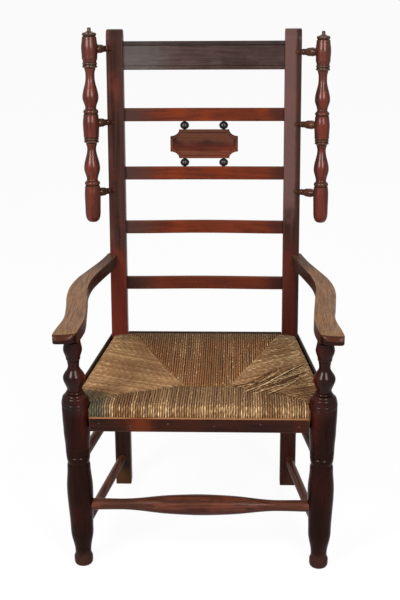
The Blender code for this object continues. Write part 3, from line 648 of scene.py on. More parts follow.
POST = Wood(
    "dark_post", deep=tone(36, 20, 17), stain=tone(58, 33, 28), glow=tone(84, 36, 26),
    worn=tone(86, 52, 40), glow_share=0.6, wear=0.25, roughness=0.32, coat=0.11,
    zones=(
        Zone(Where.UP, 0.50, 0.06, 0.16, tone(92, 34, 22), 0.7, 0.4),
        Zone(Where.UP, 0.0, 0.30, 0.40, tone(28, 15, 12), 0.6),
        Zone(Where.UP, 0.0, 0.035, 0.06, tone(70, 42, 22), 0.75, 0.3),
        Zone(Where.UP, 1.15, 0.024, 0.05, tone(40, 27, 27), 0.85, 0.3),
        Zone(Where.RIGHT, 0.21, 0.03, 0.06, tone(54, 23, 16), 0.65, 0.3, None, 0.68),
        # Painted sheen: a lighter band down the inner half of the right post, high up.
        Zone(Where.RIGHT, 0.203, 0.012, 0.021, tone(86, 62, 57), 0.85, 0.35, 0.68),
        Zone(Where.RIGHT, 0.229, 0.004, 0.012, tone(44, 26, 24), 0.8, 0.1),
        Zone(Where.RIGHT, -0.229, 0.003, 0.010, tone(88, 54, 44), 0.5, 0.2, 0.6),
        Zone(Where.RIGHT, -0.193, 0.005, 0.014, tone(52, 34, 32), 0.6, 0.2, 0.6),
    ),
)
LEG = Wood(
    "front_leg", deep=tone(20, 7, 5), stain=tone(28, 10, 7), glow=tone(46, 14, 8),
    worn=tone(52, 32, 26), glow_share=0.45, wear=0.2, relief=0.000006, roughness=0.22,
    tint=(1.0, 0.5, 0.45, 1.0), coat=0.2, coat_roughness=0.17, dull_below=0.40,
    zones=(
        Zone(Where.UP, 0.0, 0.022, 0.045, tone(58, 34, 28), 0.6, 0.6),
        # Painted light: the inner side of each front leg is painted redder and lighter, as if lit,
        # most at the bulb.
        Zone(Where.RIGHT, 0.0, 0.252, 0.268, tone(50, 16, 11), 0.7, 0.3, 0.29),
        Zone(Where.RIGHT, 0.0, 0.244, 0.252, tone(120, 34, 14), 0.8, 0.3, 0.44),
    ),
)
CREST = Wood(
    "crest_dark", deep=tone(36, 26, 24), stain=tone(64, 48, 45), glow=tone(56, 38, 35),
    worn=tone(84, 70, 64), glow_share=0.4, wear=0.25, figure=240, grain=0.4,
    tint=(1.0, 0.8, 0.78, 1.0), coat=0.14, coat_roughness=0.24,
    zones=(
        Zone(Where.RIGHT, -0.19, 0.03, 0.15, tone(76, 71, 69), 0.7, 0.4),
        Zone(Where.RIGHT, 0.19, 0.08, 0.20, tone(42, 27, 25), 0.6),
        Zone(Where.UP, 1.112, 0.011, 0.015, tone(32, 25, 23), 0.8, 0.05),
    ),
)
ARM = Wood(
    "worn_arm", deep=tone(92, 64, 46), stain=tone(122, 92, 68), glow=tone(124, 86, 54),
    worn=tone(146, 108, 78), glow_share=0.4, wear=0.04, figure=320, grain=0.45, relief=0.0004,
    roughness=0.36, specular=0.02, coat=0.16, coat_roughness=0.17,
    zones=(
        Zone(Where.BACK, -0.285, 0.015, 0.045, tone(116, 88, 48), 0.5, 0.5),
        Zone(Where.FACING_UP, -1.0, 1.35, 1.8, tone(52, 24, 16), 0.94, 0.2),
        # Painted shade: the arm's undersides are darkened.
        Zone(Where.FACING_UP, -1.0, 0.4, 0.8, tone(36, 18, 12), 0.9),
        Zone(Where.FACING_BACK, -1.0, 0.5, 0.85, tone(26, 9, 6), 0.95, 0.2),
        Zone(Where.FACING_UP, 0.56, 0.2, 0.34, tone(60, 29, 17), 0.85, 0.1),
        Zone(Where.BACK, 0.2, 0.07, 0.15, tone(58, 38, 30), 0.8, 0.5),
    ),
)
BAR = Wood(
    "worn_bar", deep=tone(50, 26, 19), stain=tone(86, 48, 35), glow=tone(94, 46, 31),
    worn=tone(108, 76, 56), wear=0.5, figure=200, grain=0.25,
    coat=0.14,
    zones=(
        Zone(Where.RIGHT, -0.155, 0.025, 0.06, tone(58, 34, 24), 0.6, 0.5),
        # Painted shade: the undersides and lower sides of the bars are darkened.
        Zone(Where.FACING_UP, -1.0, 0.5, 1.3, tone(44, 20, 14), 0.7, 0.2),
    ),
)
PEG = Wood(
    "peg_olive", deep=tone(40, 22, 15), stain=tone(70, 40, 26), glow=tone(84, 44, 25),
    worn=tone(104, 74, 46), wear=0.3, grain=0.16, relief=0.00001, roughness=0.28, specular=0.08,
    coat=0.26,
    zones=(Zone(Where.RIGHT, 0.0, 0.232, 0.242, tone(44, 19, 15), 0.9),),
)
STRIP = Wood(
    "strip_red", deep=tone(26, 12, 9), stain=tone(42, 19, 13), glow=tone(52, 21, 12),
    worn=tone(84, 50, 34), wear=0.15, grain=0.2, coat=0.1,
    zones=(
        Zone(Where.FACING_UP, 1.0, 0.25, 0.5, tone(140, 98, 64), 0.95, 0.6),
        Zone(Where.RIGHT, -0.128, 0.004, 0.044, tone(88, 36, 13), 0.65, 0.5),
    ),
)
SIDE_STRIP = replace(
    STRIP, name="side_strip", deep=tone(34, 27, 21), stain=tone(52, 42, 33), zones=()
)
BLACK = Wood(
    "ebonised", deep=tone(12, 11, 11), stain=tone(18, 16, 16), glow=tone(20, 17, 16),
    worn=tone(40, 36, 34), hollow_tone=tone(8, 8, 8), wear=0.2, roughness=0.16, specular=0.2,
    tint=WHITE, coat=0.3, coat_roughness=0.12,
)
PLAIN = Wood(
    "plain_rail", deep=tone(92, 66, 46), stain=tone(120, 88, 62), glow=tone(112, 76, 50),
    worn=tone(140, 110, 84), wear=0.2, roughness=0.6, specular=0.2,
)
IRON = Wood(
    "nail_iron", deep=tone(34, 24, 20), stain=tone(50, 36, 30), glow=tone(72, 50, 38),
    worn=tone(90, 72, 60), wear=0.3, roughness=0.4, tint=WHITE,
)


# Modelling

DOUBLES = 0.02 * MM
SHARP_RADIUS = 3 * MM
SMOOTH_ANGLE = math.radians(38)


class Bench:
    """The modelling tools. Each is a short run of Blender's own operators."""

    @staticmethod
    def clear() -> None:
        """Deselects everything, so that the next operator acts on new work alone."""
        if bpy.context.object is not None and bpy.context.object.mode != "OBJECT":
            bpy.ops.object.mode_set(mode="OBJECT")
        bpy.ops.object.select_all(action="DESELECT")

    @staticmethod
    def take(piece: bpy.types.Object) -> None:
        """Makes this the one selected and active object."""
        Bench.clear()
        piece.select_set(True)
        bpy.context.view_layer.objects.active = piece

    @staticmethod
    def settle(name: str) -> bpy.types.Object:
        """Names the primitive that was just added and leaves its place in its mesh."""
        piece = bpy.context.object
        piece.name = name
        bpy.ops.object.transform_apply(location=True, rotation=True, scale=True)
        return piece

    @staticmethod
    def open(kind: str = "VERT") -> None:
        """Enters edit mode with everything selected, as points or as faces."""
        bpy.ops.object.mode_set(mode="EDIT")
        bpy.ops.mesh.select_mode(type=kind)
        bpy.ops.mesh.select_all(action="SELECT")

    @staticmethod
    def close() -> None:
        """Turns every face outwards and leaves edit mode."""
        bpy.ops.mesh.select_all(action="SELECT")
        bpy.ops.mesh.normals_make_consistent(inside=False)
        bpy.ops.object.mode_set(mode="OBJECT")

    @staticmethod
    def extrude(start: Sequence[float], end: Sequence[float]) -> None:
        """Extrudes what is selected by the step from one place to another."""
        step = [after - before for before, after in zip(start, end)]
        bpy.ops.mesh.extrude_region_move(TRANSFORM_OT_translate={"value": step})

    @staticmethod
    def trace(name: str, points: Sequence[Spot]) -> bpy.types.Object:
        """Draws a line through points.

        Args:
            name: The piece's name.
            points: The places that the line runs through.

        Returns:
            The piece in edit mode, with all of the line selected.
        """
        Bench.clear()
        bpy.ops.mesh.primitive_plane_add(size=MM, location=points[0])
        piece = Bench.settle(name)
        Bench.open()
        bpy.ops.mesh.merge(type="CENTER")
        for last, point in zip(points, points[1:]):
            Bench.extrude(last, point)
        bpy.ops.mesh.select_all(action="SELECT")
        return piece

    @staticmethod
    def turn(name: str, profile: Sequence[Point], sides: int = 48) -> bpy.types.Object:
        """Spins a turner's profile about the upright axis.

        Args:
            name: The piece's name.
            profile: (radius, height) points from one end to the other.
            sides: How many steps the spin takes.

        Returns:
            The piece, upright at the origin.
        """
        piece = Bench.trace(name, [(radius, 0, height) for radius, height in profile])
        bpy.ops.mesh.spin(steps=sides, angle=math.tau, center=(0, 0, 0), axis=(0, 0, 1))
        bpy.ops.mesh.select_all(action="SELECT")
        bpy.ops.mesh.remove_doubles(threshold=DOUBLES)
        Bench.close()
        return piece

    @staticmethod
    def outline(name: str, points: Sequence[Spot], facing: Vector) -> bpy.types.Object:
        """Fills a closed outline.

        Args:
            name: The piece's name.
            points: The outline's corners in order.
            facing: The way that the face looks.

        Returns:
            The piece in edit mode, with its one face selected.
        """
        piece = Bench.trace(name, [*points, points[0]])
        bpy.ops.mesh.remove_doubles(threshold=DOUBLES)
        bpy.ops.mesh.edge_face_add()
        bpy.ops.mesh.select_mode(type="FACE")
        piece.update_from_editmode()
        if piece.data.polygons[0].normal.dot(facing) < 0:
            bpy.ops.mesh.flip_normals()
        return piece

    @staticmethod
    def draw_out(
        name: str, stations: Sequence["Station"], way: Vector, cells: tuple[int, int]
    ) -> bpy.types.Object:
        """Draws a rectangular section out along a row of stations.

        Args:
            name: The piece's name.
            stations: Middle, wide and deep size of the section at each step.
            way: The way the section faces, one of the three axes.
            cells: How many cells the section has each way.

        Returns:
            The piece, in place.
        """
        Bench.clear()
        first = stations[0]
        bpy.ops.mesh.primitive_grid_add(
            x_subdivisions=cells[0], y_subdivisions=cells[1], size=1, location=first.middle,
            rotation=way.to_track_quat("Z", "Y").to_euler(),
        )
        piece = Bench.settle(name)
        Bench.open("FACE")
        bpy.ops.transform.resize(value=first.grown(1, 1, way), center_override=first.middle)
        bpy.ops.mesh.flip_normals()
        for last, station in zip(stations, stations[1:]):
            Bench.extrude(last.middle, station.middle)
            bpy.ops.transform.resize(
                value=station.grown(last.wide, last.deep, way), center_override=station.middle
            )
        Bench.close()
        return piece

    @staticmethod
    def block(name: str, middle: Sequence[float], size: Sequence[float]) -> bpy.types.Object:
        """Adds a cube at its place and size."""
        Bench.clear()
        bpy.ops.mesh.primitive_cube_add(size=1, location=middle, scale=size)
        return Bench.settle(name)

    @staticmethod
    def soften(
        piece: bpy.types.Object, width: float, segments: int = 4, angle: float = 50.0
    ) -> None:
        """Rounds the sharp edges of a piece with an applied Bevel.

        Args:
            piece: The piece.
            width: The bevel's width.
            segments: How many faces it has across.
            angle: The least bend that counts as an edge, in degrees.
        """
        Bench.take(piece)
        bevel = piece.modifiers.new("rounded_edges", "BEVEL")
        bevel.width = width
        bevel.segments = segments
        bevel.limit_method = "ANGLE"
        bevel.angle_limit = math.radians(angle)
        bpy.ops.object.modifier_apply(modifier=bevel.name)

    @staticmethod
    def place(piece: bpy.types.Object, matrix: Matrix) -> None:
        """Moves a piece and leaves its place in its mesh."""
        Bench.take(piece)
        piece.matrix_world = matrix @ piece.matrix_world
        bpy.ops.object.transform_apply(location=True, rotation=True, scale=True)

    @staticmethod
    def copy(piece: bpy.types.Object, name: str, matrix: Matrix) -> bpy.types.Object:
        """Copies a piece with its own mesh and puts the copy elsewhere.

        Args:
            piece: What is copied.
            name: The copy's name.
            matrix: The move from the piece's place, which may mirror it.

        Returns:
            The copy.
        """
        made = piece.copy()
        made.data = piece.data.copy()
        made.name = name
        bpy.context.scene.collection.objects.link(made)
        Bench.place(made, matrix)
        if matrix.determinant() < 0:
            Bench.open("FACE")
            bpy.ops.mesh.flip_normals()
            Bench.close()
        return made

    @staticmethod
    def mark_edges(piece: bpy.types.Object) -> None:
        """Writes how sharply the surface bends into the piece's "edge" attribute.

        Args:
            piece: The piece. An edge gets values up to 1, a hollow corner down to -1.
        """
        shape = bmesh.new()
        shape.from_mesh(piece.data)
        bends = []
        for vertex in shape.verts:
            total = 0.0
            for link in vertex.link_edges:
                away = link.other_vert(vertex).co - vertex.co
                total -= 2 * away.dot(vertex.normal) / max(away.length_squared, 1e-9)
            bends.append(max(-1.0, min(1.0, total / len(vertex.link_edges) * SHARP_RADIUS)))
        evened = []
        for vertex in shape.verts:
            near = [bends[link.other_vert(vertex).index] for link in vertex.link_edges]
            evened.append((bends[vertex.index] + sum(near) / len(near)) / 2)
        shape.free()
        layer = piece.data.attributes.new("edge", "FLOAT", "POINT")
        layer.data.foreach_set("value", evened)

    @staticmethod
    def paint(piece: bpy.types.Object, material: bpy.types.Material) -> None:
        """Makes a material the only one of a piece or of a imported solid."""
        piece.data.materials.clear()
        piece.data.materials.append(material)

    @staticmethod
    def dress(
        piece: bpy.types.Object, material: bpy.types.Material, slot: str, *nodes: str
    ) -> None:
        """Finishes a piece: shading, material and place in the frame, and hides the solids it
        replaces.

        Args:
            piece: The finished shape.
            material: What it is made of.
            slot: The record's material slot. It is not used.
            nodes: The solids that it replaces.
        """
        Bench.take(piece)
        bpy.ops.object.shade_smooth_by_angle(angle=SMOOTH_ANGLE)
        Bench.mark_edges(piece)
        Bench.paint(piece, material)
        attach(piece, "root")
        if nodes:
            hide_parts(*nodes)
        log.info("%s: %d faces", piece.name, len(piece.data.polygons))


@dataclass(frozen=True)
class Station:
    """One step of a section that is drawn out."""

    middle: Spot
    wide: float
    deep: float

    def grown(self, wide: float, deep: float, way: Vector) -> Spot:
        """How much the section grows each way from an earlier size.

        Args:
            wide: The wide size before.
            deep: The deep size before.
            way: The way the section faces; it keeps its size along that.

        Returns:
            Factors along X, Y and Z.
        """
        width, depth = self.wide / wide, self.deep / deep
        if abs(way.z) > 0.5:
            return (width, depth, 1.0)
        if abs(way.y) > 0.5:
            return (width, 1.0, depth)
        return (1.0, width, depth)


@dataclass(frozen=True)
class Turning:
    """A turner's profile as (down, across, how it is reached) in millimetres."""

    cuts: tuple[tuple[float, float, Cut], ...]
    steps: int = 9

    def profile(self, length: float, width: float = 1.0) -> list[Point]:
        """The profile at a real length.

        Args:
            length: Length of the piece in metres.
            width: Factor on every diameter.

        Returns:
            (radius, height) points from the top at 0 down.
        """
        stretch = length / self.cuts[-1][0]
        points = [(self.cuts[0][1] * MM / 2 * width, -self.cuts[0][0] * stretch)]
        for down, across, reach in self.cuts[1:]:
            radius, height = across * MM / 2 * width, -down * stretch
            if reach is CURVE:
                first_radius, first_height = points[-1]
                for step in range(1, self.steps):
                    share = step / self.steps
                    eased = (1 - math.cos(math.pi * share)) / 2
                    points.append((
                        first_radius + (radius - first_radius) * eased,
                        first_height + (height - first_height) * share,
                    ))
            points.append((radius, height))
        return points


@dataclass(frozen=True)
class Plan:
    """The lines that the whole chair is set out from.

    front is the Y of the front posts' middles, front_out and rear_out are the X of the posts'
    middles, all read from the solids. The rear posts bend at the knee, and post_top is their
    length above it, along the lean.
    """

    front: float = middle_of("front_post_right")[1]
    front_out: float = middle_of("front_post_right")[0]
    rear_out: float = middle_of("rear_post_right")[0]
    seat_depth: float = 0.398
    knee_height: float = 0.410
    knee_blend: float = 0.080
    foot_forward: float = 0.032
    post_thickness: float = 0.032
    post_top: float = 0.7365
    lean: float = math.radians(9.2)

    def post_back(self, height: float) -> float:
        """How far behind the front posts the rear posts' middle is.

        Args:
            height: The height above the floor.

        Returns:
            The distance.
        """
        above = height - self.knee_height
        low = self.foot_forward / self.knee_height
        high = math.tan(self.lean)
        if above <= -self.knee_blend:
            return self.seat_depth + low * above
        if above >= self.knee_blend:
            return self.seat_depth + high * above
        ease = (high - low) / (4 * self.knee_blend)
        return self.seat_depth + (low + high) / 2 * above + ease * (above**2 + self.knee_blend**2)

    @property
    def back_matrix(self) -> Matrix:
        """The leaning back's frame: its Z runs up the posts from the knee."""
        origin = Matrix.Translation((0, self.front + self.seat_depth, self.knee_height))
        return origin @ Matrix.Rotation(-self.lean, 4, "X")

    def on_back(self, right: float, back: float, up: float) -> Matrix:
        """The frame of a spot on the leaning back."""
        return self.back_matrix @ Matrix.Translation((right, back, up))

    def from_back(self, node: str) -> Vector:
        """Middle of a solid's box, as a spot on the leaning back."""
        return self.back_matrix.inverted() @ Vector(middle_of(node))


PLAN = Plan()


# Sub-assemblies


@dataclass
class FrontPosts:
    """The two turned front posts."""

    turning: Turning = Turning((
        (0.0, 0.0, LINE), (0.0, 17.8, LINE), (17.0, 18.0, LINE), (17.0, 36.0, LINE),
        (34.8, 41.2, CURVE), (55.4, 31.6, CURVE), (56.0, 30.4, LINE), (57.2, 31.2, LINE),
        (58.4, 30.0, LINE), (59.4, 27.2, LINE), (74.2, 24.6, CURVE), (101.4, 48.4, CURVE),
        (131.6, 32.4, CURVE), (132.4, 31.6, LINE), (133.0, 36.0, LINE), (134.6, 37.6, LINE),
        (136.8, 36.6, LINE), (137.6, 34.0, LINE), (139.2, 43.0, CURVE), (147.4, 55.6, CURVE),
        (154.4, 59.4, LINE), (157.6, 60.4, LINE), (158.8, 59.2, LINE), (160.2, 61.2, LINE),
        (167.0, 61.0, LINE), (168.2, 59.4, LINE), (169.6, 61.0, LINE), (196.0, 60.4, LINE),
        (227.0, 58.8, CURVE), (270.9, 54.4, CURVE), (272.0, 52.0, LINE), (273.4, 51.6, LINE),
        (275.4, 53.8, LINE), (285.4, 53.6, LINE), (287.2, 50.4, LINE), (289.0, 50.0, LINE),
        (291.0, 52.8, LINE), (298.0, 51.6, LINE), (307.0, 48.2, CURVE), (317.0, 51.6, CURVE),
        (375.8, 58.8, CURVE), (483.6, 51.4, CURVE), (540.8, 36.4, CURVE), (545.0, 35.8, LINE),
        (547.4, 38.4, LINE), (554.6, 42.8, CURVE), (565.0, 43.0, CURVE), (569.4, 41.4, LINE),
        (571.6, 38.6, LINE), (572.5, 35.0, LINE), (572.5, 0.0, LINE),
    ))

    def build(self, leg: bpy.types.Material) -> None:
        """Turns one post and copies it.

        Args:
            leg: The posts' finish.
        """
        low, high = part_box("front_post_left")
        post = Bench.turn("front_leg_left", self.turning.profile(high[2] - low[2]), 64)
        Bench.place(post, Matrix.Translation((-PLAN.front_out, PLAN.front, high[2])))
        twin = Bench.copy(post, "front_leg_right", Matrix.Translation((2 * PLAN.front_out, 0, 0)))
        Bench.dress(post, leg, "front_leg", "front_post_left")
        Bench.dress(twin, leg, "front_leg", "front_post_right")


@dataclass
class RearPosts:
    """The two sawn rear posts, bent at the seat, with rounded tops."""

    width: float = 0.0395
    edge: float = 0.0024
    lower_steps: int = 10
    blend_steps: int = 8
    upper_steps: int = 26

    def build(self, finish: bpy.types.Material) -> None:
        """Draws one post out, rounds its top and copies it.

        Args:
            finish: The posts' finish.
        """
        low, high = PLAN.knee_height - PLAN.knee_blend, PLAN.knee_height + PLAN.knee_blend
        top = PLAN.knee_height + PLAN.post_top * math.cos(PLAN.lean)
        heights = spread(0.0, low, self.lower_steps)[:-1]
        heights += spread(low, high, self.blend_steps)[:-1] + spread(high, top, self.upper_steps)
        deep = PLAN.post_thickness / math.cos(PLAN.lean)
        stations = [
            Station((-PLAN.rear_out, PLAN.front + PLAN.post_back(height), height), self.width, deep)
            for height in heights
        ]
        post = Bench.draw_out("back_post_left", stations, Vector((0, 0, 1)), (6, 4))
        self._round_top(post, top)
        Bench.soften(post, self.edge, 3)
        twin = Bench.copy(post, "back_post_right", Matrix.Translation((2 * PLAN.rear_out, 0, 0)))
        Bench.dress(post, finish, "dark_post", "rear_post_left")
        Bench.dress(twin, finish, "dark_post", "rear_post_right")

    def _round_top(self, post: bpy.types.Object, top: float) -> None:
        """Turns the top square to the lean and rounds it from front to back.

        Args:
            post: The left post.
            top: The height of its top.
        """
        Bench.take(post)
        middle = Vector((-PLAN.rear_out, PLAN.front + PLAN.post_back(top), top))
        square = Matrix.Rotation(-PLAN.lean, 4, "X")
        half = PLAN.post_thickness / 2
        for vertex in post.data.vertices:
            offset = vertex.co - middle
            if offset.z > -MM:
                flat = offset.y * math.cos(PLAN.lean)
                drop = half - math.sqrt(max(0.0, half**2 - flat**2))
                vertex.co = middle + square @ Vector((offset.x, flat, -drop))


@dataclass
class BackRails:
    """The crest rail and the four slats between the rear posts."""

    clear: float = 0.19175
    tenon: float = 0.008
    crest_height: float = 0.067
    crest_thickness: float = 0.017
    crest_up: float = 0.675
    crest_edge: float = 0.003
    line_inset: float = 0.0095
    line_half: float = 0.0009
    slat_width: float = 0.0315
    slat_thickness: float = 0.012
    slat_edge: float = 0.0018
    slats: tuple[Point, ...] = ((0.536, 0.005), (0.396, 0.004), (0.264, 0.012), (0.125, 0.007))
    steps: int = 40

    def build(self, crest: bpy.types.Material, slat: bpy.types.Material) -> None:
        """Builds the crest and the slats and leans them back.

        Args:
            crest: The crest's finish.
            slat: The slats' finish.
        """
        rail = self._crest()
        Bench.place(rail, PLAN.back_matrix)
        Bench.dress(rail, crest, "crest", "crest_rail")
        for number, (up, bow) in enumerate(self.slats, 1):
            piece = self._slat(f"slat_{number}", up, bow)
            Bench.place(piece, PLAN.back_matrix)
            Bench.dress(piece, slat, "red_brown", f"back_slat_{number}")

    def _crest(self) -> bpy.types.Object:
        """The crest, with a line cut along each edge of its front.

        Returns:
            The crest, not yet leaned back.
        """
        reach = self.clear + self.tenon
        cuts = (self.crest_height / 2 - self.line_inset, self.line_inset - self.crest_height / 2)
        piece = Bench.block(
            "crest", (0, 0, self.crest_up), (2 * reach, self.crest_thickness, self.crest_height)
        )
        Bench.soften(piece, self.crest_edge, 4)
        bpy.ops.object.mode_set(mode="EDIT")
        for cut in cuts:
            for shift in (-self.line_half, 0.0, self.line_half):
                bpy.ops.mesh.select_all(action="SELECT")
                height = self.crest_up + cut + shift
                bpy.ops.mesh.bisect(plane_co=(0, 0, height), plane_no=(0, 0, 1))
        for across in spread(-reach, reach, self.steps)[1:-1]:
            bpy.ops.mesh.select_all(action="SELECT")
            bpy.ops.mesh.bisect(plane_co=(across, 0, 0), plane_no=(1, 0, 0))
        bpy.ops.object.mode_set(mode="OBJECT")
        near = 0.1 * MM
        for vertex in piece.data.vertices:
            on_line = min(abs(vertex.co.z - self.crest_up - cut) for cut in cuts) < near
            if on_line and vertex.co.y < -self.crest_thickness / 2 + near:
                vertex.co.y += self.line_half
        return piece

    def _slat(self, name: str, up: float, bow: float) -> bpy.types.Object:
        """One slat, bowed back between the posts.

        Args:
            name: The piece's name.
            up: Its height on the back.
            bow: How far its middle lies back.

        Returns:
            The slat, not yet leaned back.
        """
        reach = self.clear + self.tenon
        stations = []
        for right in spread(-reach, reach, self.steps):
            turn = math.pi * max(-1.0, min(1.0, right / self.clear))
            back = bow * (1 + math.cos(turn)) / 2
            stations.append(Station((right, back, up), self.slat_thickness, self.slat_width))
        piece = Bench.draw_out(name, stations, Vector((1, 0, 0)), (2, 5))
        Bench.soften(piece, self.slat_edge, 3)
        return piece


@dataclass
class Tablet:
    """The tablet with hollow corners and the four black beads that hold it."""

    width: float = 0.163
    height: float = 0.069
    thickness: float = 0.010
    notch_width: float = 0.021
    notch_height: float = 0.016
    up: float = 0.466
    border: float = 0.004
    chamfer: float = 0.002
    line: float = 0.0006
    line_depth: float = 0.0007
    corner_steps: int = 12
    bead_out: float = 0.047
    bead_width: float = 0.0222
    bead_height: float = 0.0191
    spigot_radius: float = 0.0031
    spigot_length: float = 0.004
    bead_steps: int = 18

    def build(self, wood: bpy.types.Material, black: bpy.types.Material) -> None:
        """Builds the tablet and its beads.

        Args:
            wood: The tablet's finish.
            black: The beads' finish.
        """
        board = self._board()
        back = PLAN.from_back("tablet").y
        Bench.place(board, PLAN.on_back(0, back, 0))
        Bench.dress(board, wood, "red_brown", "tablet")
        bead = Bench.turn("bead", self._bead_profile(), 32)
        for level in ("upper", "lower"):
            for side in Side:
                node = f"bead_{level}_{side.word}"
                spot = PLAN.on_back(side.value * self.bead_out, back, PLAN.from_back(node).z)
                made = Bench.copy(bead, f"{level}_bead_{side.word}", spot)
                Bench.dress(made, black, "black", node)
        bpy.data.objects.remove(bead)

    def _bead_profile(self) -> list[Point]:
        """A ball between two spigots, as (radius, height) points from the top down."""
        half, thin = self.bead_height / 2, self.spigot_radius
        end = half + self.spigot_length
        ball = [
            (max(thin, self.bead_width / 2 * math.sin(turn)), half * math.cos(turn))
            for turn in (math.pi * step / self.bead_steps for step in range(1, self.bead_steps))
        ]
        return [(0.0, end), (thin, end), *ball, (thin, -end), (0.0, -end)]

    def _board(self) -> bpy.types.Object:
        """The tablet's board: hollow corners, a chamfer and a fine border line.

        Returns:
            The board, not yet leaned back.
        """
        wide, high, depth = self.width / 2, self.height / 2, self.thickness / 2
        outline = []
        for right, rise in ((1, 1), (-1, 1), (-1, -1), (1, -1)):
            corner = [
                (
                    right * (wide - self.notch_width * math.cos(turn)), depth,
                    self.up + rise * (high - self.notch_height * math.sin(turn)),
                )
                for turn in spread(0.0, math.pi / 2, self.corner_steps)
            ]
            outline += corner if right * rise < 0 else corner[::-1]
        board = Bench.outline("tablet_board", outline, Vector((0, -1, 0)))
        Bench.extrude((0, self.thickness, 0), (0, self.chamfer, 0))
        for thickness, rise in (
            (self.chamfer, self.chamfer), (self.border, 0.0),
            (self.line, -self.line_depth), (self.line, self.line_depth),
        ):
            bpy.ops.mesh.inset(thickness=thickness, depth=rise)
        Bench.close()
        return board


@dataclass
class Wings:
    """The turned spindles beside the head, and the pegs that carry them.

    A place is (side, distance from the post's middle, height over its top, length, girth).
    """

    forward: float = 0.060
    places: tuple[tuple[Side, float, float, float, float], ...] = (
        (Side.LEFT, 0.0532, 0.0032, 0.455, 1.0), (Side.RIGHT, 0.0668, -0.0068, 0.446, 0.94),
    )
    peg_shares: tuple[float, ...] = (0.107, 0.484, 0.845)
    peg_post_in: float = 0.0115
    peg_buried: float = 0.009
    turning: Turning = Turning((
        (0.0, 0.0, LINE), (0.3, 5.4, LINE), (1.6, 8.4, LINE), (3.8, 9.3, LINE), (6.6, 8.8, LINE),
        (8.3, 9.2, LINE), (10.6, 19.0, LINE), (12.9, 31.0, CURVE), (13.8, 33.2, LINE),
        (15.8, 33.8, LINE), (17.8, 33.0, LINE), (19.0, 30.4, LINE), (20.8, 29.6, LINE),
        (21.9, 34.0, LINE), (47.0, 38.6, CURVE), (69.0, 36.4, CURVE), (78.9, 32.0, CURVE),
        (79.5, 31.6, LINE), (80.6, 32.4, LINE), (81.4, 34.2, LINE), (83.0, 35.0, LINE),
        (84.8, 34.2, LINE), (85.6, 32.0, LINE), (86.8, 32.0, LINE), (87.6, 34.4, LINE),
        (89.6, 35.4, LINE), (91.6, 34.2, LINE), (92.6, 31.0, LINE), (94.0, 26.0, LINE),
        (105.0, 21.6, CURVE), (114.0, 21.2, LINE), (161.4, 38.0, CURVE), (186.8, 25.9, CURVE),
        (188.4, 27.6, LINE), (191.0, 33.4, LINE), (192.4, 35.2, LINE), (195.0, 35.9, LINE),
        (197.6, 35.0, LINE), (198.8, 32.0, LINE), (200.0, 32.0, LINE), (200.9, 35.4, LINE),
        (222.0, 38.9, CURVE), (254.4, 36.2, CURVE), (255.3, 32.8, LINE), (256.4, 32.8, LINE),
        (257.2, 34.8, LINE), (258.8, 35.6, LINE), (260.4, 34.8, LINE), (261.3, 32.4, LINE),
        (262.3, 32.4, LINE), (263.0, 34.8, LINE), (264.8, 35.6, LINE), (266.4, 34.4, LINE),
        (267.4, 31.0, LINE), (269.0, 26.0, LINE), (281.0, 21.2, CURVE), (327.6, 38.0, CURVE),
        (356.0, 26.2, CURVE), (358.0, 28.6, LINE), (360.4, 34.0, LINE), (361.8, 35.8, LINE),
        (364.5, 36.2, LINE), (367.2, 35.2, LINE), (368.3, 32.2, LINE), (369.6, 32.2, LINE),
        (370.6, 36.0, LINE), (390.0, 38.0, CURVE), (436.0, 36.4, CURVE), (446.0, 33.6, LINE),
        (452.0, 28.6, LINE), (455.8, 21.6, LINE), (457.4, 13.6, LINE), (458.0, 0.0, LINE),
    ), 12)
    peg_turning: Turning = Turning((
        (0.0, 0.0, LINE), (0.0, 8.4, LINE), (8.0, 8.4, LINE), (8.0, 11.6, LINE),
        (16.0, 13.6, CURVE), (27.0, 20.6, CURVE), (37.0, 19.8, CURVE), (46.6, 15.0, CURVE),
        (47.6, 12.6, LINE), (48.8, 12.2, LINE), (49.8, 14.6, LINE), (53.0, 14.8, CURVE),
        (58.0, 12.0, CURVE), (64.0, 10.6, LINE), (75.0, 10.6, LINE), (75.0, 0.0, LINE),
    ), 7)

    def build(self, finish: bpy.types.Material, peg_finish: bpy.types.Material) -> None:
        """Turns a spindle and a peg, and copies them to both sides.

        Args:
            finish: The spindles' finish.
            peg_finish: The pegs' finish.
        """
        for side, beside, above, length, girth in self.places:
            out, top = side.value * (PLAN.rear_out + beside), PLAN.post_top + above
            spindle = Bench.turn(f"spindle_{side.word}", self.turning.profile(length), 56)
            slim = Matrix.Diagonal((girth, girth, 1, 1))
            Bench.place(spindle, PLAN.on_back(out, -self.forward, top) @ slim)
            Bench.dress(spindle, finish, "red_brown", f"wing_spindle_{side.word}")
            inward = side.value * (self.peg_post_in - beside)
            run = Vector((inward, self.forward - PLAN.post_thickness / 2, 0))
            peg = Bench.turn("peg", self.peg_turning.profile(run.length + self.peg_buried), 32)
            for number, share in enumerate(self.peg_shares, 1):
                spot = PLAN.on_back(out, -self.forward, top - share * length) @ aimed(run)
                made = Bench.copy(peg, f"peg_{side.word}_{number}", spot)
                Bench.dress(made, peg_finish, "red_brown", f"wing_peg_{side.word}_{number}")
            bpy.data.objects.remove(peg)


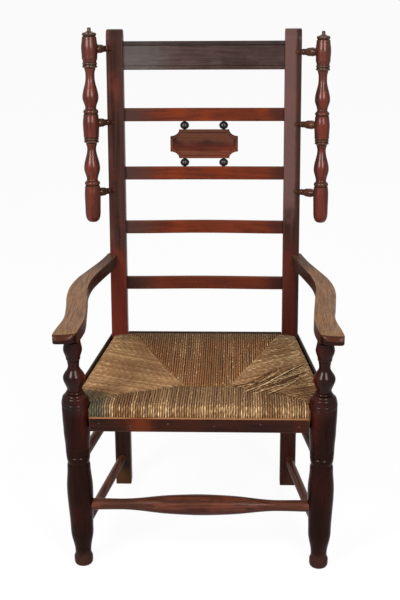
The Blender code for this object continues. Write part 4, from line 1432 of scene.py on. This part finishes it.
@dataclass
class Arms:
    """The sawn arms, S-shaped in plan and thinned at the nose.

    The noses are cut askew by nose_skew and rounded in plan by nose_crown over crown_reach.
    plan_shares holds (share of the length from the nose, share of the sweep, share of the
    width), and nose_drop (share of the length, how far the top is lowered). nose_end,
    flat_start, flat_end and lifted_start are shares of the length too, for the underside.
    """

    seat_height: float = 0.5558
    overhang: float = 0.0425
    width: float = 0.0505
    thickness: float = 0.029
    nose_thickness: float = 0.0185
    rise: float = 0.023
    sweep: float = 0.045
    nose_skew: float = 0.009
    nose_crown: float = 0.0032
    crown_reach: float = 0.016
    edge: float = 0.0065
    plan_shares: tuple[Spot, ...] = (
        (0.000, 0.30, 0.80), (0.026, 0.32, 0.98), (0.095, 0.31, 0.99), (0.200, 0.29, 0.92),
        (0.310, 0.49, 0.90), (0.443, 0.80, 0.93), (0.554, 1.00, 0.84), (0.665, 0.98, 0.72),
        (0.776, 0.74, 0.60), (0.887, 0.46, 0.52), (1.000, 0.26, 0.51),
    )
    nose_end: float = 0.028
    flat_start: float = 0.052
    flat_end: float = 0.140
    lifted_start: float = 0.300
    nose_drop: tuple[Point, ...] = (
        (0.0, 0.0112), (0.0065, 0.0060), (0.013, 0.0016), (0.0195, 0.0003), (0.03, 0.0),
    )
    steps: int = 4

    def build(self, finish: bpy.types.Material) -> None:
        """Draws the right arm out and mirrors it.

        Args:
            finish: The arms' finish.
        """
        rear = PLAN.post_back(self.seat_height + self.thickness)
        length = self.overhang + rear
        inset = PLAN.rear_out - PLAN.front_out
        stations = []
        for share, sweep, width in smooth_through(self.plan_shares, self.steps):
            back = -self.overhang + length * share
            right = PLAN.front_out + inset * share + self.sweep * sweep
            top = self.seat_height + self.thickness + self.rise * back / rear
            bottom = self._underside(share, top)
            top -= along(self.nose_drop, share)
            stations.append(Station(
                (right, PLAN.front + back, (top + bottom) / 2), self.width * width, top - bottom
            ))
        arm = Bench.draw_out("armrest_right", stations, Vector((0, 1, 0)), (6, 4))
        self._skew_nose(arm)
        Bench.soften(arm, self.edge, 6, 60)
        mirror = Matrix.Scale(-1, 4, (1, 0, 0))
        twin = Bench.copy(arm, "armrest_left", mirror)
        Bench.dress(arm, finish, "worn_arm", "arm_right")
        Bench.dress(twin, finish, "worn_arm", "arm_left")

    def _underside(self, share: float, top: float) -> float:
        """Height of the underside: thin at the nose, flat over the post, parallel behind.

        Args:
            share: Share of the arm's length from the nose.
            top: Height of the top there.

        Returns:
            The height.
        """
        nose, flat, lifted = top - self.nose_thickness, self.seat_height, top - self.thickness
        levels = (
            (0.0, nose), (self.nose_end, nose), (self.flat_start, flat), (self.flat_end, flat),
            (self.lifted_start, lifted),
        )
        return along(levels, share)

    def _skew_nose(self, arm: bpy.types.Object) -> None:
        """Moves the inner side of the nose back and rounds the nose a little in plan.

        Args:
            arm: The right arm.
        """
        low, high = PLAN.front - self.overhang, PLAN.front
        tip = [vertex.co.x for vertex in arm.data.vertices if vertex.co.y < low + MM]
        inner, outer = min(tip), max(tip)
        for vertex in arm.data.vertices:
            if vertex.co.y < high:
                across = vertex.co.x - inner
                skew = self.nose_skew * max(0.0, 1 - across / self.width)
                nose = max(0.0, 1 - (vertex.co.y - low) / self.crown_reach)
                crown = self.nose_crown * (2 * across / (outer - inner) - 1) ** 2
                vertex.co.y += skew * (high - vertex.co.y) / (high - low) + crown * nose


@dataclass
class Stretchers:
    """The turned bars between the posts.

    The shares hold (share of the length, diameter in millimetres) up to a bar's middle.
    """

    segments: int = 32
    front_shares: tuple[Point, ...] = (
        (0.000, 17.0), (0.012, 23.5), (0.030, 26.1), (0.060, 26.0), (0.150, 24.4), (0.200, 25.8),
        (0.250, 30.1), (0.300, 36.0), (0.350, 40.9), (0.420, 44.9), (0.500, 47.0),
    )
    bar_shares: tuple[Point, ...] = ((0.0, 17.5), (0.03, 20.4), (0.07, 21.5), (0.5, 21.7))

    def build(self, finish: bpy.types.Material, back_run: bpy.types.Material) -> None:
        """Turns each bar and lays it between its posts.

        Args:
            finish: Finish of the bars that run across.
            back_run: Finish of the bars that run from front to back.
        """
        self._bar("front_bar", "front_stretcher", self.front_shares, finish, Vector((1, 0, 0)))
        self._bar("rear_bar", "rear_stretcher", self.bar_shares, finish, Vector((1, 0, 0)))
        for side in Side:
            run = Vector((side.value * (PLAN.rear_out - PLAN.front_out), PLAN.seat_depth, 0))
            for level in ("upper", "lower"):
                name, node = f"side_bar_{level}_{side.word}", f"side_stretcher_{level}_{side.word}"
                self._bar(name, node, self.bar_shares, back_run, run)

    def _bar(
        self, name: str, node: str, half: Sequence[Point], finish: bpy.types.Material, run: Vector
    ) -> None:
        """Lays one bar along the long way of its solid's box.

        A side bar's run has no rise, so its ends start halfway up the box, and the room for its
        thickness then lowers the rear end. Its solid rises to the rear instead.

        Args:
            name: The piece's name.
            node: The solid that it replaces.
            half: The bar's profile up to its middle.
            finish: Its finish.
            run: The way from its start to its end. On an axis where that is 0, both ends start
                in the middle of the box.
        """
        low, high = (Vector(corner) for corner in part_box(node))
        start, end = low.copy(), high.copy()
        for axis in range(3):
            if abs(run[axis]) < 1e-6:
                start[axis] = end[axis] = (low[axis] + high[axis]) / 2
            elif run[axis] < 0:
                start[axis], end[axis] = high[axis], low[axis]
        if run.y:
            radius = half[0][1] * MM / 2
            pad = Vector((math.copysign(radius, run.x), 0, radius))
            start, end = start + pad, end - pad
        line = end - start
        curve = smooth_through([*half, *((1 - share, width) for share, width in half[-2::-1])], 3)
        middle = [(width * MM / 2, -share * line.length) for share, width in curve]
        bar = Bench.turn(name, [(0.0, 0.0), *middle, (0.0, -line.length)], self.segments)
        Bench.place(bar, Matrix.Translation(start) @ aimed(line))
        Bench.dress(bar, finish, "dark_post", node)


@dataclass
class EdgeStrips:
    """The strips along the edge of the rush, and their nails."""

    edge: float = 0.0018
    cells: int = 48
    nail_width: float = 0.0042
    nail_flat: float = 0.4
    nail_shares: tuple[float, ...] = (0.045, 0.19, 0.36, 0.57, 0.78, 0.955)
    nail_levels: tuple[float, float] = (0.12, -0.05)

    def build(
        self, finish: bpy.types.Material, side_finish: bpy.types.Material,
        iron: bpy.types.Material,
    ) -> None:
        """Builds the front strip and its nails, and paints the other strips' solids.

        Args:
            finish: The front strip's finish.
            side_finish: Finish of the strips at the sides and behind.
            iron: The nails' finish.
        """
        low, high = (Vector(corner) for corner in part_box("edge_strip_front"))
        middle, size = (low + high) / 2, high - low
        stations = [
            Station((low.x + right, middle.y, middle.z), size.y, size.z)
            for right in spread(0.0, size.x, self.cells)
        ]
        strip = Bench.draw_out("front_strip", stations, Vector((1, 0, 0)), (2, 6))
        Bench.soften(strip, self.edge, 3)
        Bench.dress(strip, finish, "strip", "edge_strip_front")
        Bench.clear()
        bpy.ops.mesh.primitive_uv_sphere_add(
            segments=16, ring_count=8, radius=self.nail_width / 2, scale=(1, self.nail_flat, 1)
        )
        nail = Bench.settle("nail")
        for number, share in enumerate(self.nail_shares):
            level = middle.z + size.z * self.nail_levels[number % 2]
            spot = Matrix.Translation((low.x + size.x * share, low.y, level))
            Bench.dress(Bench.copy(nail, f"nail_{number + 1}", spot), iron, "strip")
        bpy.data.objects.remove(nail)
        for place in ("rear", "left", "right"):
            Bench.paint(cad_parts[f"edge_strip_{place}"], side_finish)


@dataclass
class RushSeat:
    """The rush, laid strand by strand over the four rails in four sectors.

    Each strand comes up at a seam, runs out over its rail, down behind the edge strip and back
    under the seat to the seam, so the same four sectors show below. wrap holds (share of the
    way out to the rail's face, drop below the top). front_grey is where, across the front, the
    grey cast starts and where it is full. side_aims is how far back the first and the last
    strand of a side sector meet the seam, side_pull how far the ones between are drawn forward,
    and side_cover and rear_cover the least that strands reach over the seat. The front part of
    the left sector, corner_part of it, is grey. Some strands of the right sector, within
    stray_part of it, have strayed. Of a strand's points, those from the first to the last of
    outer_points lie over the rail. The ends of loose strands are drawn within loose_start, and
    their ways within loose_reach, each for right and back. The core keeps core_inset from the
    sides and from the front and rear.
    """

    top: float = 0.410
    bottom: float = 0.3505
    sag: float = 0.021
    rise_below: float = 0.006
    wrap_out: float = 0.017
    wrap: tuple[Point, ...] = ((0.55, 0.0042), (0.9, 0.0135), (1.0, 0.026), (1.0, 0.043))
    radius: float = 0.0027
    thick_and_thin: float = 0.07
    jitter: float = 0.0004
    wander: float = 0.0008
    pitch: float = 0.0053
    sides: int = 8
    outer_points: tuple[int, int] = (4, 8)
    # How much of the dry pale and painted highlight is kept off the rail, and its spread per
    # strand.
    inner_dry: float = 0.45
    dry_spread: Point = (0.4, 1.0)
    shade: float = 0.27
    shade_drift: float = 0.14
    shade_spread: float = 0.17
    rear_rail_back: float = 0.3895
    ridge: float = 0.1345
    front_inset: float = 0.0335
    front_grey: Point = (-0.185, -0.215)
    front_greyest: float = 1.3
    rear_reach: float = 0.187
    rear_cover: float = 0.020
    shortest: float = 0.004
    side_first: float = 0.033
    side_last: float = 0.018
    side_aims: Point = (0.016, 0.385)
    side_pull: float = 0.050
    side_pulled_from: float = 0.120
    side_cover: float = 0.030
    corner_part: float = 0.12
    stray_part: Point = (0.2, 0.62)
    stray_chance: float = 0.16
    stray_sway: float = 0.010
    loose_count: int = 22
    loose_steps: int = 8
    loose_radius: float = 0.0011
    loose_start: tuple[Point, Point] = ((0.09, 0.16), (0.07, 0.14))
    loose_reach: tuple[Point, Point] = ((0.06, 0.10), (0.05, 0.10))
    loose_lift: Point = (0.001, 0.006)
    loose_bend: float = 0.12
    core_skin: float = 0.0042
    core_inset: Point = (0.034, 0.030)
    core_cuts: int = 11
    seam_points: tuple[tuple[str, tuple[Point, ...]], ...] = (
        ("front_left", (
            (-0.262, -0.012), (-0.215, 0.034), (-0.150, 0.082), (-0.085, 0.114), (-0.034, 0.134),
        )),
        ("front_right", (
            (0.262, -0.012), (0.222, 0.032), (0.169, 0.076), (0.112, 0.110), (0.062, 0.134),
        )),
        ("rear_left", (
            (-0.186, 0.420), (-0.155, 0.365), (-0.104, 0.264), (-0.062, 0.186), (-0.034, 0.134),
        )),
        ("rear_right", (
            (0.190, 0.420), (0.166, 0.360), (0.128, 0.280), (0.088, 0.195), (0.062, 0.134),
        )),
    )

    def __post_init__(self) -> None:
        """Draws the seams and starts the lists of the mesh."""
        self.seams = {name: smooth_through(points, 6) for name, points in self.seam_points}
        self.chance = random.Random(11)
        self.points: list[Spot] = []
        self.faces: list[tuple[int, ...]] = []
        self.maps: list[float] = []
        self.marks: dict[str, list[float]] = {
            key: [] for key in ("strand", "reddish", "greyish", "dry", "even")
        }

    def build(self, finish: bpy.types.Material, plain: bpy.types.Material) -> None:
        """Lays the strands and paints the rails that they cover.

        Args:
            finish: The rush.
            plain: The rails inside.
        """
        self._across_rails()
        self._side_rails()
        self._loose_ends()
        self._make("rush_strands", finish)
        self._core(finish)
        for place in ("front", "rear", "left", "right"):
            Bench.paint(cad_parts[f"seat_rail_{place}"], plain)

    def half_width(self, back: float) -> float:
        """Distance from the middle to a side rail's middle, this far back."""
        return PLAN.front_out + (PLAN.rear_out - PLAN.front_out) * back / PLAN.seat_depth

    def dish(self, right: float, back: float) -> float:
        """How deep a spot lies in the dish.

        Args:
            right: The spot's distance from the chair's middle.
            back: Its distance behind the front posts' middles.

        Returns:
            0 at the edge to 1 in the dish's middle.
        """
        rear = self.rear_rail_back + self.wrap_out
        deep = (back + self.wrap_out) / (rear + self.wrap_out) * 2 - 1
        wide = right / (self.half_width(back) + self.wrap_out)
        return max(0.0, 1 - wide**2) * max(0.0, 1 - deep**2)

    def _upper(self, spot: Vector, drop: float) -> Vector:
        """A spot on the seat's top, lowered by drop."""
        level = self.top - self.sag * self.dish(spot.x, spot.y) - drop
        return Vector((spot.x, spot.y, level))

    def _lower(self, spot: Vector, lift: float) -> Vector:
        """A spot on the seat's underside, lifted by lift."""
        level = self.bottom + self.rise_below * self.dish(spot.x, spot.y) + lift
        return Vector((spot.x, spot.y, level))

    def _strand(self, inner: Point, outer: Point, rail: Point, mark: dict[str, float]) -> None:
        """Lays one strand.

        Args:
            inner: (right, back) where it comes up at the seam.
            outer: (right, back) where it reaches the rail's middle.
            rail: The way outwards over the rail, of length 1.
            mark: The strand's own attributes.
        """
        jitter = self.chance.uniform(-self.jitter, self.jitter)
        radius = self.radius * (1 + self.chance.uniform(-self.thick_and_thin, self.thick_and_thin))
        start, end, out = Vector(inner), Vector(outer), Vector(rail)
        span = end - start
        lean = span.normalized()
        wander = Vector((-lean.y, lean.x)) * self.chance.uniform(-self.wander, self.wander)
        dive = min(0.006, span.length * 0.2)
        face = self.wrap_out - radius
        path = [
            self._upper(spot, radius + drop - jitter)
            for spot, drop in (
                (start - lean * 0.002, 0.0065),
                (start + lean * dive, 0.0012),
                (start + span * 0.38 + wander, 0.0),
                (start + span * 0.72 - wander * 0.5, 0.0),
                (end - out * 0.001, 0.0004),
            )
        ]
        for reach, drop in self.wrap:
            path.append((end + out * (face * reach)).to_3d())
            path[-1].z = self.top - radius - drop
        path += [
            self._lower(spot, radius + lift)
            for spot, lift in (
                (end + out * (face * 0.6), 0.001), (start + span * 0.6, 0.0),
                (start - lean * 0.001, 0.004),
            )
        ]
        self._tube(path, radius, mark)

    def _tube(self, path: Sequence[Vector], radius: float, mark: dict[str, float]) -> None:
        """Adds a closed tube along a path, with its map and attributes.

        Args:
            path: The middle of the tube.
            radius: Its radius.
            mark: Its attributes. Dry pale and painted highlight are full only over the rail.
        """
        base, shift = len(self.points), self.chance.uniform(0, 9)
        first_outer, last_outer = self.outer_points
        aside = (path[first_outer] - path[0]).cross(Vector((0, 0, 1))).normalized()
        length, lengths = 0.0, []
        for number, spot in enumerate(path):
            before, after = path[max(number - 1, 0)], path[min(number + 1, len(path) - 1)]
            rise = aside.cross((after - before).normalized()).normalized()
            length += (spot - before).length
            lengths.append(length + shift)
            for step in range(self.sides):
                turn = math.tau * step / self.sides
                away = (aside * math.cos(turn) + rise * math.sin(turn)) * radius
                self.points.append(tuple(spot + away))
                for name, values in self.marks.items():
                    # Off the rail, the dry pale and its painted highlight are cut back.
                    inner = name == "dry" and not first_outer <= number <= last_outer
                    values.append(mark[name] * (self.inner_dry if inner else 1.0))
        for number, (here, there) in enumerate(zip(lengths, lengths[1:])):
            first = base + number * self.sides
            second = first + self.sides
            for step in range(self.sides):
                turn = (step + 1) % self.sides
                self.faces.append((first + step, first + turn, second + turn, second + step))
                near, far = step / self.sides, (step + 1) / self.sides
                self.maps += [near, here, far, here, far, there, near, there]
        last = base + (len(path) - 1) * self.sides
        self.faces.append(tuple(base + step for step in reversed(range(self.sides))))
        self.faces.append(tuple(last + step for step in range(self.sides)))
        self.maps += [0.0, lengths[0]] * self.sides + [0.0, lengths[-1]] * self.sides

    def _mark(
        self, number: float, reddish: float, greyish: float, dry: float, paler: float = 0.0,
        even: float = 0.0,
    ) -> dict[str, float]:
        """Draws a strand's attributes.

        Args:
            number: The strand's number in its sector, which the slow drift of shade follows.
            reddish: How much of the red cast it has.
            greyish: How much of the grey one.
            dry: How pale its worn side can be, with painted highlight over the rail.
            paler: How much lighter than usual its own shade is.
            even: How much of its contrast is taken away.

        Returns:
            The value of each attribute.
        """
        drift = noise.noise(Vector((number * 0.11, 3.7, reddish * 5)))
        own = self.chance.uniform(-self.shade_spread, self.shade_spread)
        shade = self.shade + paler + self.shade_drift * drift + own
        return {
            "strand": max(0.0, min(1.0, shade)), "reddish": reddish, "greyish": greyish,
            "dry": dry * self.chance.uniform(*self.dry_spread), "even": even,
        }

    def _across_rails(self) -> None:
        """The front and the rear sector, whose strands run from front to back."""
        reach = PLAN.front_out - self.front_inset
        for step, right in enumerate(spread(-reach, reach, round(2 * reach / self.pitch))):
            inner = self._seam_back(right, "front")
            start, full = self.front_grey
            grey = max(0.0, min(self.front_greyest, (right - start) / (full - start)))
            if inner > self.shortest:
                mark = self._mark(step, reddish=0.0, greyish=grey, dry=0.45, even=0.3)
                self._strand((right, inner - MM), (right, 0.0), (0.0, -1.0), mark)
        reach, rail = self.rear_reach, self.rear_rail_back
        for step, right in enumerate(spread(-reach, reach, round(2 * reach / self.pitch))):
            inner = min(self._seam_back(right, "rear") + MM, rail - self.rear_cover)
            mark = self._mark(step, reddish=1.0, greyish=0.0, dry=0.1)
            self._strand((right, inner), (right, rail), (0.0, 1.0), mark)

    def _seam_back(self, right: float, sector: str) -> float:
        """How far back a sector's seam is.

        Args:
            right: The place across the seat.
            sector: "front" or "rear".

        Returns:
            The seam's distance behind the front posts' middles.
        """
        left_seam, right_seam = self.seams[f"{sector}_left"], self.seams[f"{sector}_right"]
        if right <= left_seam[-1][0]:
            return along(left_seam, right)
        if right >= right_seam[-1][0]:
            return along(sorted(right_seam), right)
        return self.ridge

    def _side_rails(self) -> None:
        """The two side sectors, whose strands run in from the side rails."""
        toe = math.atan2(PLAN.front_out - PLAN.rear_out, PLAN.seat_depth)
        first, last = self.side_first, PLAN.seat_depth - self.side_last
        count = round((last - first) / self.pitch)
        for side in Side:
            sign, on_right = side.value, side is Side.RIGHT
            seam = self.seams[f"front_{side.word}"][:-1] + self.seams[f"rear_{side.word}"]
            border = sorted((back, right) for right, back in seam)
            for step in range(count + 1):
                share = step / count
                back = first + (last - first) * share
                inner_back = self.side_aims[0] + (self.side_aims[1] - self.side_aims[0]) * share
                if back > self.side_pulled_from:
                    pull = self.side_pull * (1 if on_right else 0.5)
                    inner_back -= pull * math.sin(math.pi * share)
                half = self.half_width(back)
                inner = sign * min(sign * along(border, inner_back), half - self.side_cover)
                in_part = self.stray_part[0] < share < self.stray_part[1]
                stray = on_right and in_part and self.chance.random() < self.stray_chance
                sway = self.chance.uniform(-self.stray_sway, self.stray_sway) if stray else 0.0
                grey = 0.8 if not on_right and share < self.corner_part else 0.1
                paler, even = (0.26 * share - 0.05, 0.2) if on_right else (0.1, 1.0)
                mark = self._mark(step, 0.45, grey, dry=0.4, paler=paler, even=even)
                rail = (sign * math.cos(toe), math.sin(toe))
                self._strand((inner, inner_back + sway), (sign * half, back), rail, mark)

    def _loose_ends(self) -> None:
        """The frayed strands that have sprung up on the right of the seat."""
        draw = self.chance.uniform
        for number in range(self.loose_count):
            start = Vector([draw(*limits) for limits in self.loose_start])
            reach = Vector([draw(*limits) for limits in self.loose_reach])
            lift = draw(*self.loose_lift)
            bend = Vector((-reach.y, reach.x)) * draw(-self.loose_bend, self.loose_bend)
            path = []
            for share in spread(0.0, 1.0, self.loose_steps):
                arch = math.sin(math.pi * share)
                spot = start + reach * share + bend * arch
                path.append(self._upper(spot, 0.0008 - lift * arch))
            mark = dict.fromkeys(self.marks, 0.0)
            pale = number % 2
            mark.update(strand=pale, reddish=1.0, dry=0.9 * pale)
            self._tube(path, self.loose_radius, mark)

    def _make(self, name: str, finish: bpy.types.Material) -> None:
        """Makes the strands' mesh with its map and attributes.

        Args:
            name: The piece's name.
            finish: The rush.
        """
        mesh = bpy.data.meshes.new(name)
        mesh.from_pydata([(x, y + PLAN.front, z) for x, y, z in self.points], [], self.faces)
        mesh.uv_layers.new(name="strand_map").uv.foreach_set("vector", self.maps)
        for key, values in self.marks.items():
            mesh.attributes.new(key, "FLOAT", "POINT").data.foreach_set("value", values)
        piece = bpy.data.objects.new(name, mesh)
        bpy.context.scene.collection.objects.link(piece)
        mesh.shade_smooth()
        mesh.materials.append(finish)
        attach(piece, "root")
        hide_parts("rush_seat")
        log.info("%s: %d faces", name, len(mesh.polygons))

    def _core(self, finish: bpy.types.Material) -> None:
        """The stuffing between the upper and the lower strands.

        Args:
            finish: The rush.
        """
        core = Bench.block("rush_stuffing", (0, 0, 0), (2, 2, 2))
        Bench.open()
        bpy.ops.mesh.subdivide(number_cuts=self.core_cuts)
        bpy.ops.object.mode_set(mode="OBJECT")
        middle, half = self.rear_rail_back / 2, self.rear_rail_back / 2 + self.wrap_out
        for vertex in core.data.vertices:
            across, deep, level = vertex.co
            back = middle + deep * (half - self.core_skin - self.core_inset[1])
            side = self.half_width(back) + self.wrap_out
            right = across * (side - self.core_skin - self.core_inset[0])
            low = self._lower(Vector((right, back)), self.core_skin)
            high = self._upper(Vector((right, back)), self.core_skin + MM)
            vertex.co = low.lerp(high, (level + 1) / 2)
            vertex.co.y += PLAN.front
        Bench.dress(core, finish, "rush", "rush_seat")


# Studio


@dataclass(frozen=True)
class Camera:
    """The camera, as fitted to the photograph."""

    place: Spot = (0.092, -2.4916, 1.5346)
    yaw: float = math.radians(-2.229)
    pitch: float = math.radians(21.435)
    roll: float = math.radians(-0.59)
    focal_pixels: float = 1151.8
    long_side_pixels: float = 600.0
    sensor: float = 36.0

    def build(self) -> None:
        """Adds the camera and makes it the scene's own."""
        data = bpy.data.cameras.new("camera")
        data.sensor_width = self.sensor
        data.lens = self.focal_pixels / self.long_side_pixels * self.sensor
        data.clip_end = 100
        ahead = Vector((
            math.sin(self.yaw) * math.cos(self.pitch), math.cos(self.yaw) * math.cos(self.pitch),
            -math.sin(self.pitch),
        ))
        level = Vector((math.cos(self.yaw), -math.sin(self.yaw), 0))
        upright = level.cross(ahead)
        right = level * math.cos(self.roll) + upright * math.sin(self.roll)
        up = upright * math.cos(self.roll) - level * math.sin(self.roll)
        made = bpy.data.objects.new("camera", data)
        matrix = Matrix((right, up, -ahead)).transposed().to_4x4()
        matrix.translation = self.place
        made.matrix_world = matrix
        bpy.context.scene.collection.objects.link(made)
        bpy.context.scene.camera = made


@dataclass(frozen=True)
class Studio:
    """Floor, world and lamps.

    A lamp is (name, azimuth, elevation, distance, width, height, watts), its angles in degrees.
    """

    target: Spot = (0.0, 0.0, 0.6)
    ambient: float = 0.3
    floor_size: float = 60.0
    lamps: tuple[tuple[str, float, float, float, float, float, float], ...] = (
        ("key_left", -38.0, 32.0, 3.0, 0.9, 1.15, 88.0),
        ("key_right", 27.0, 32.0, 3.0, 0.9, 1.15, 72.0),
        ("back_top", 160.0, 62.0, 3.0, 1.2, 1.2, 14.0),
    )

    def build(self, floor: bpy.types.Material) -> None:
        """Builds the studio.

        Args:
            floor: The floor's finish.
        """
        bpy.context.scene.view_settings.view_transform = "Standard"
        Bench.clear()
        bpy.ops.mesh.primitive_grid_add(x_subdivisions=8, y_subdivisions=8, size=self.floor_size)
        ground = bpy.context.object
        ground.name = "floor"
        ground.data.materials.append(floor)
        self._world()
        for name, azimuth, elevation, distance, width, height, watts in self.lamps:
            lamp = self._lamp(name, math.radians(azimuth), math.radians(elevation), distance)
            lamp.size, lamp.size_y, lamp.energy = width, height, watts

    def _world(self) -> None:
        """A plain surround, white to the camera and in reflections."""
        recipe = Recipe(bpy.data.worlds.new("surround"))
        soft, white = (
            recipe.node("ShaderNodeBackground", {"Color": WHITE, "Strength": strength}).outputs[0]
            for strength in (self.ambient, 1.0)
        )
        mixed = recipe.node("ShaderNodeMixShader", {0: recipe.seen(), 1: soft, 2: white})
        bpy.context.scene.world = recipe.close(mixed, "World")

    def _lamp(
        self, name: str, azimuth: float, elevation: float, distance: float
    ) -> bpy.types.AreaLight:
        """One soft lamp, aimed at the chair.

        Args:
            name: The lamp's name.
            azimuth: The way it stands, in radians: 0 is in front, and it grows to the right.
            elevation: How high it stands, in radians.
            distance: How far it is from the target.

        Returns:
            The lamp's data, whose size and power are still to be set.
        """
        data = bpy.data.lights.new(name, "AREA")
        data.shape = "RECTANGLE"
        made = bpy.data.objects.new(name, data)
        away = Vector((
            math.sin(azimuth) * math.cos(elevation), -math.cos(azimuth) * math.cos(elevation),
            math.sin(elevation),
        ))
        made.location = Vector(self.target) + away * distance
        made.rotation_euler = away.to_track_quat("Z", "Y").to_euler()
        bpy.context.scene.collection.objects.link(made)
        return data


def main() -> None:
    """Builds the chair's sub-assemblies in order, then the studio round it."""
    logging.basicConfig(level=logging.INFO, format="%(name)s: %(message)s", stream=sys.stdout)
    Camera().build()
    FrontPosts().build(LEG.material(Run.UP))
    RearPosts().build(POST.material(Run.UP, PLAN.lean))
    BackRails().build(CREST.material(Run.ACROSS), SLAT.material(Run.ACROSS))
    Tablet().build(OLD_RED.material(Run.ACROSS), BLACK.material(Run.UP))
    Wings().build(SPINDLE.material(Run.UP, PLAN.lean), PEG.material(Run.ACROSS))
    Arms().build(ARM.material(Run.BACK))
    Stretchers().build(BAR.material(Run.ACROSS), BAR.material(Run.BACK))
    EdgeStrips().build(
        STRIP.material(Run.ACROSS), SIDE_STRIP.material(Run.BACK), IRON.material(Run.UP)
    )
    RushSeat().build(Rush().material(), PLAIN.material(Run.ACROSS))
    Studio().build(Pale().material())


if __name__ == "__main__":
    main()
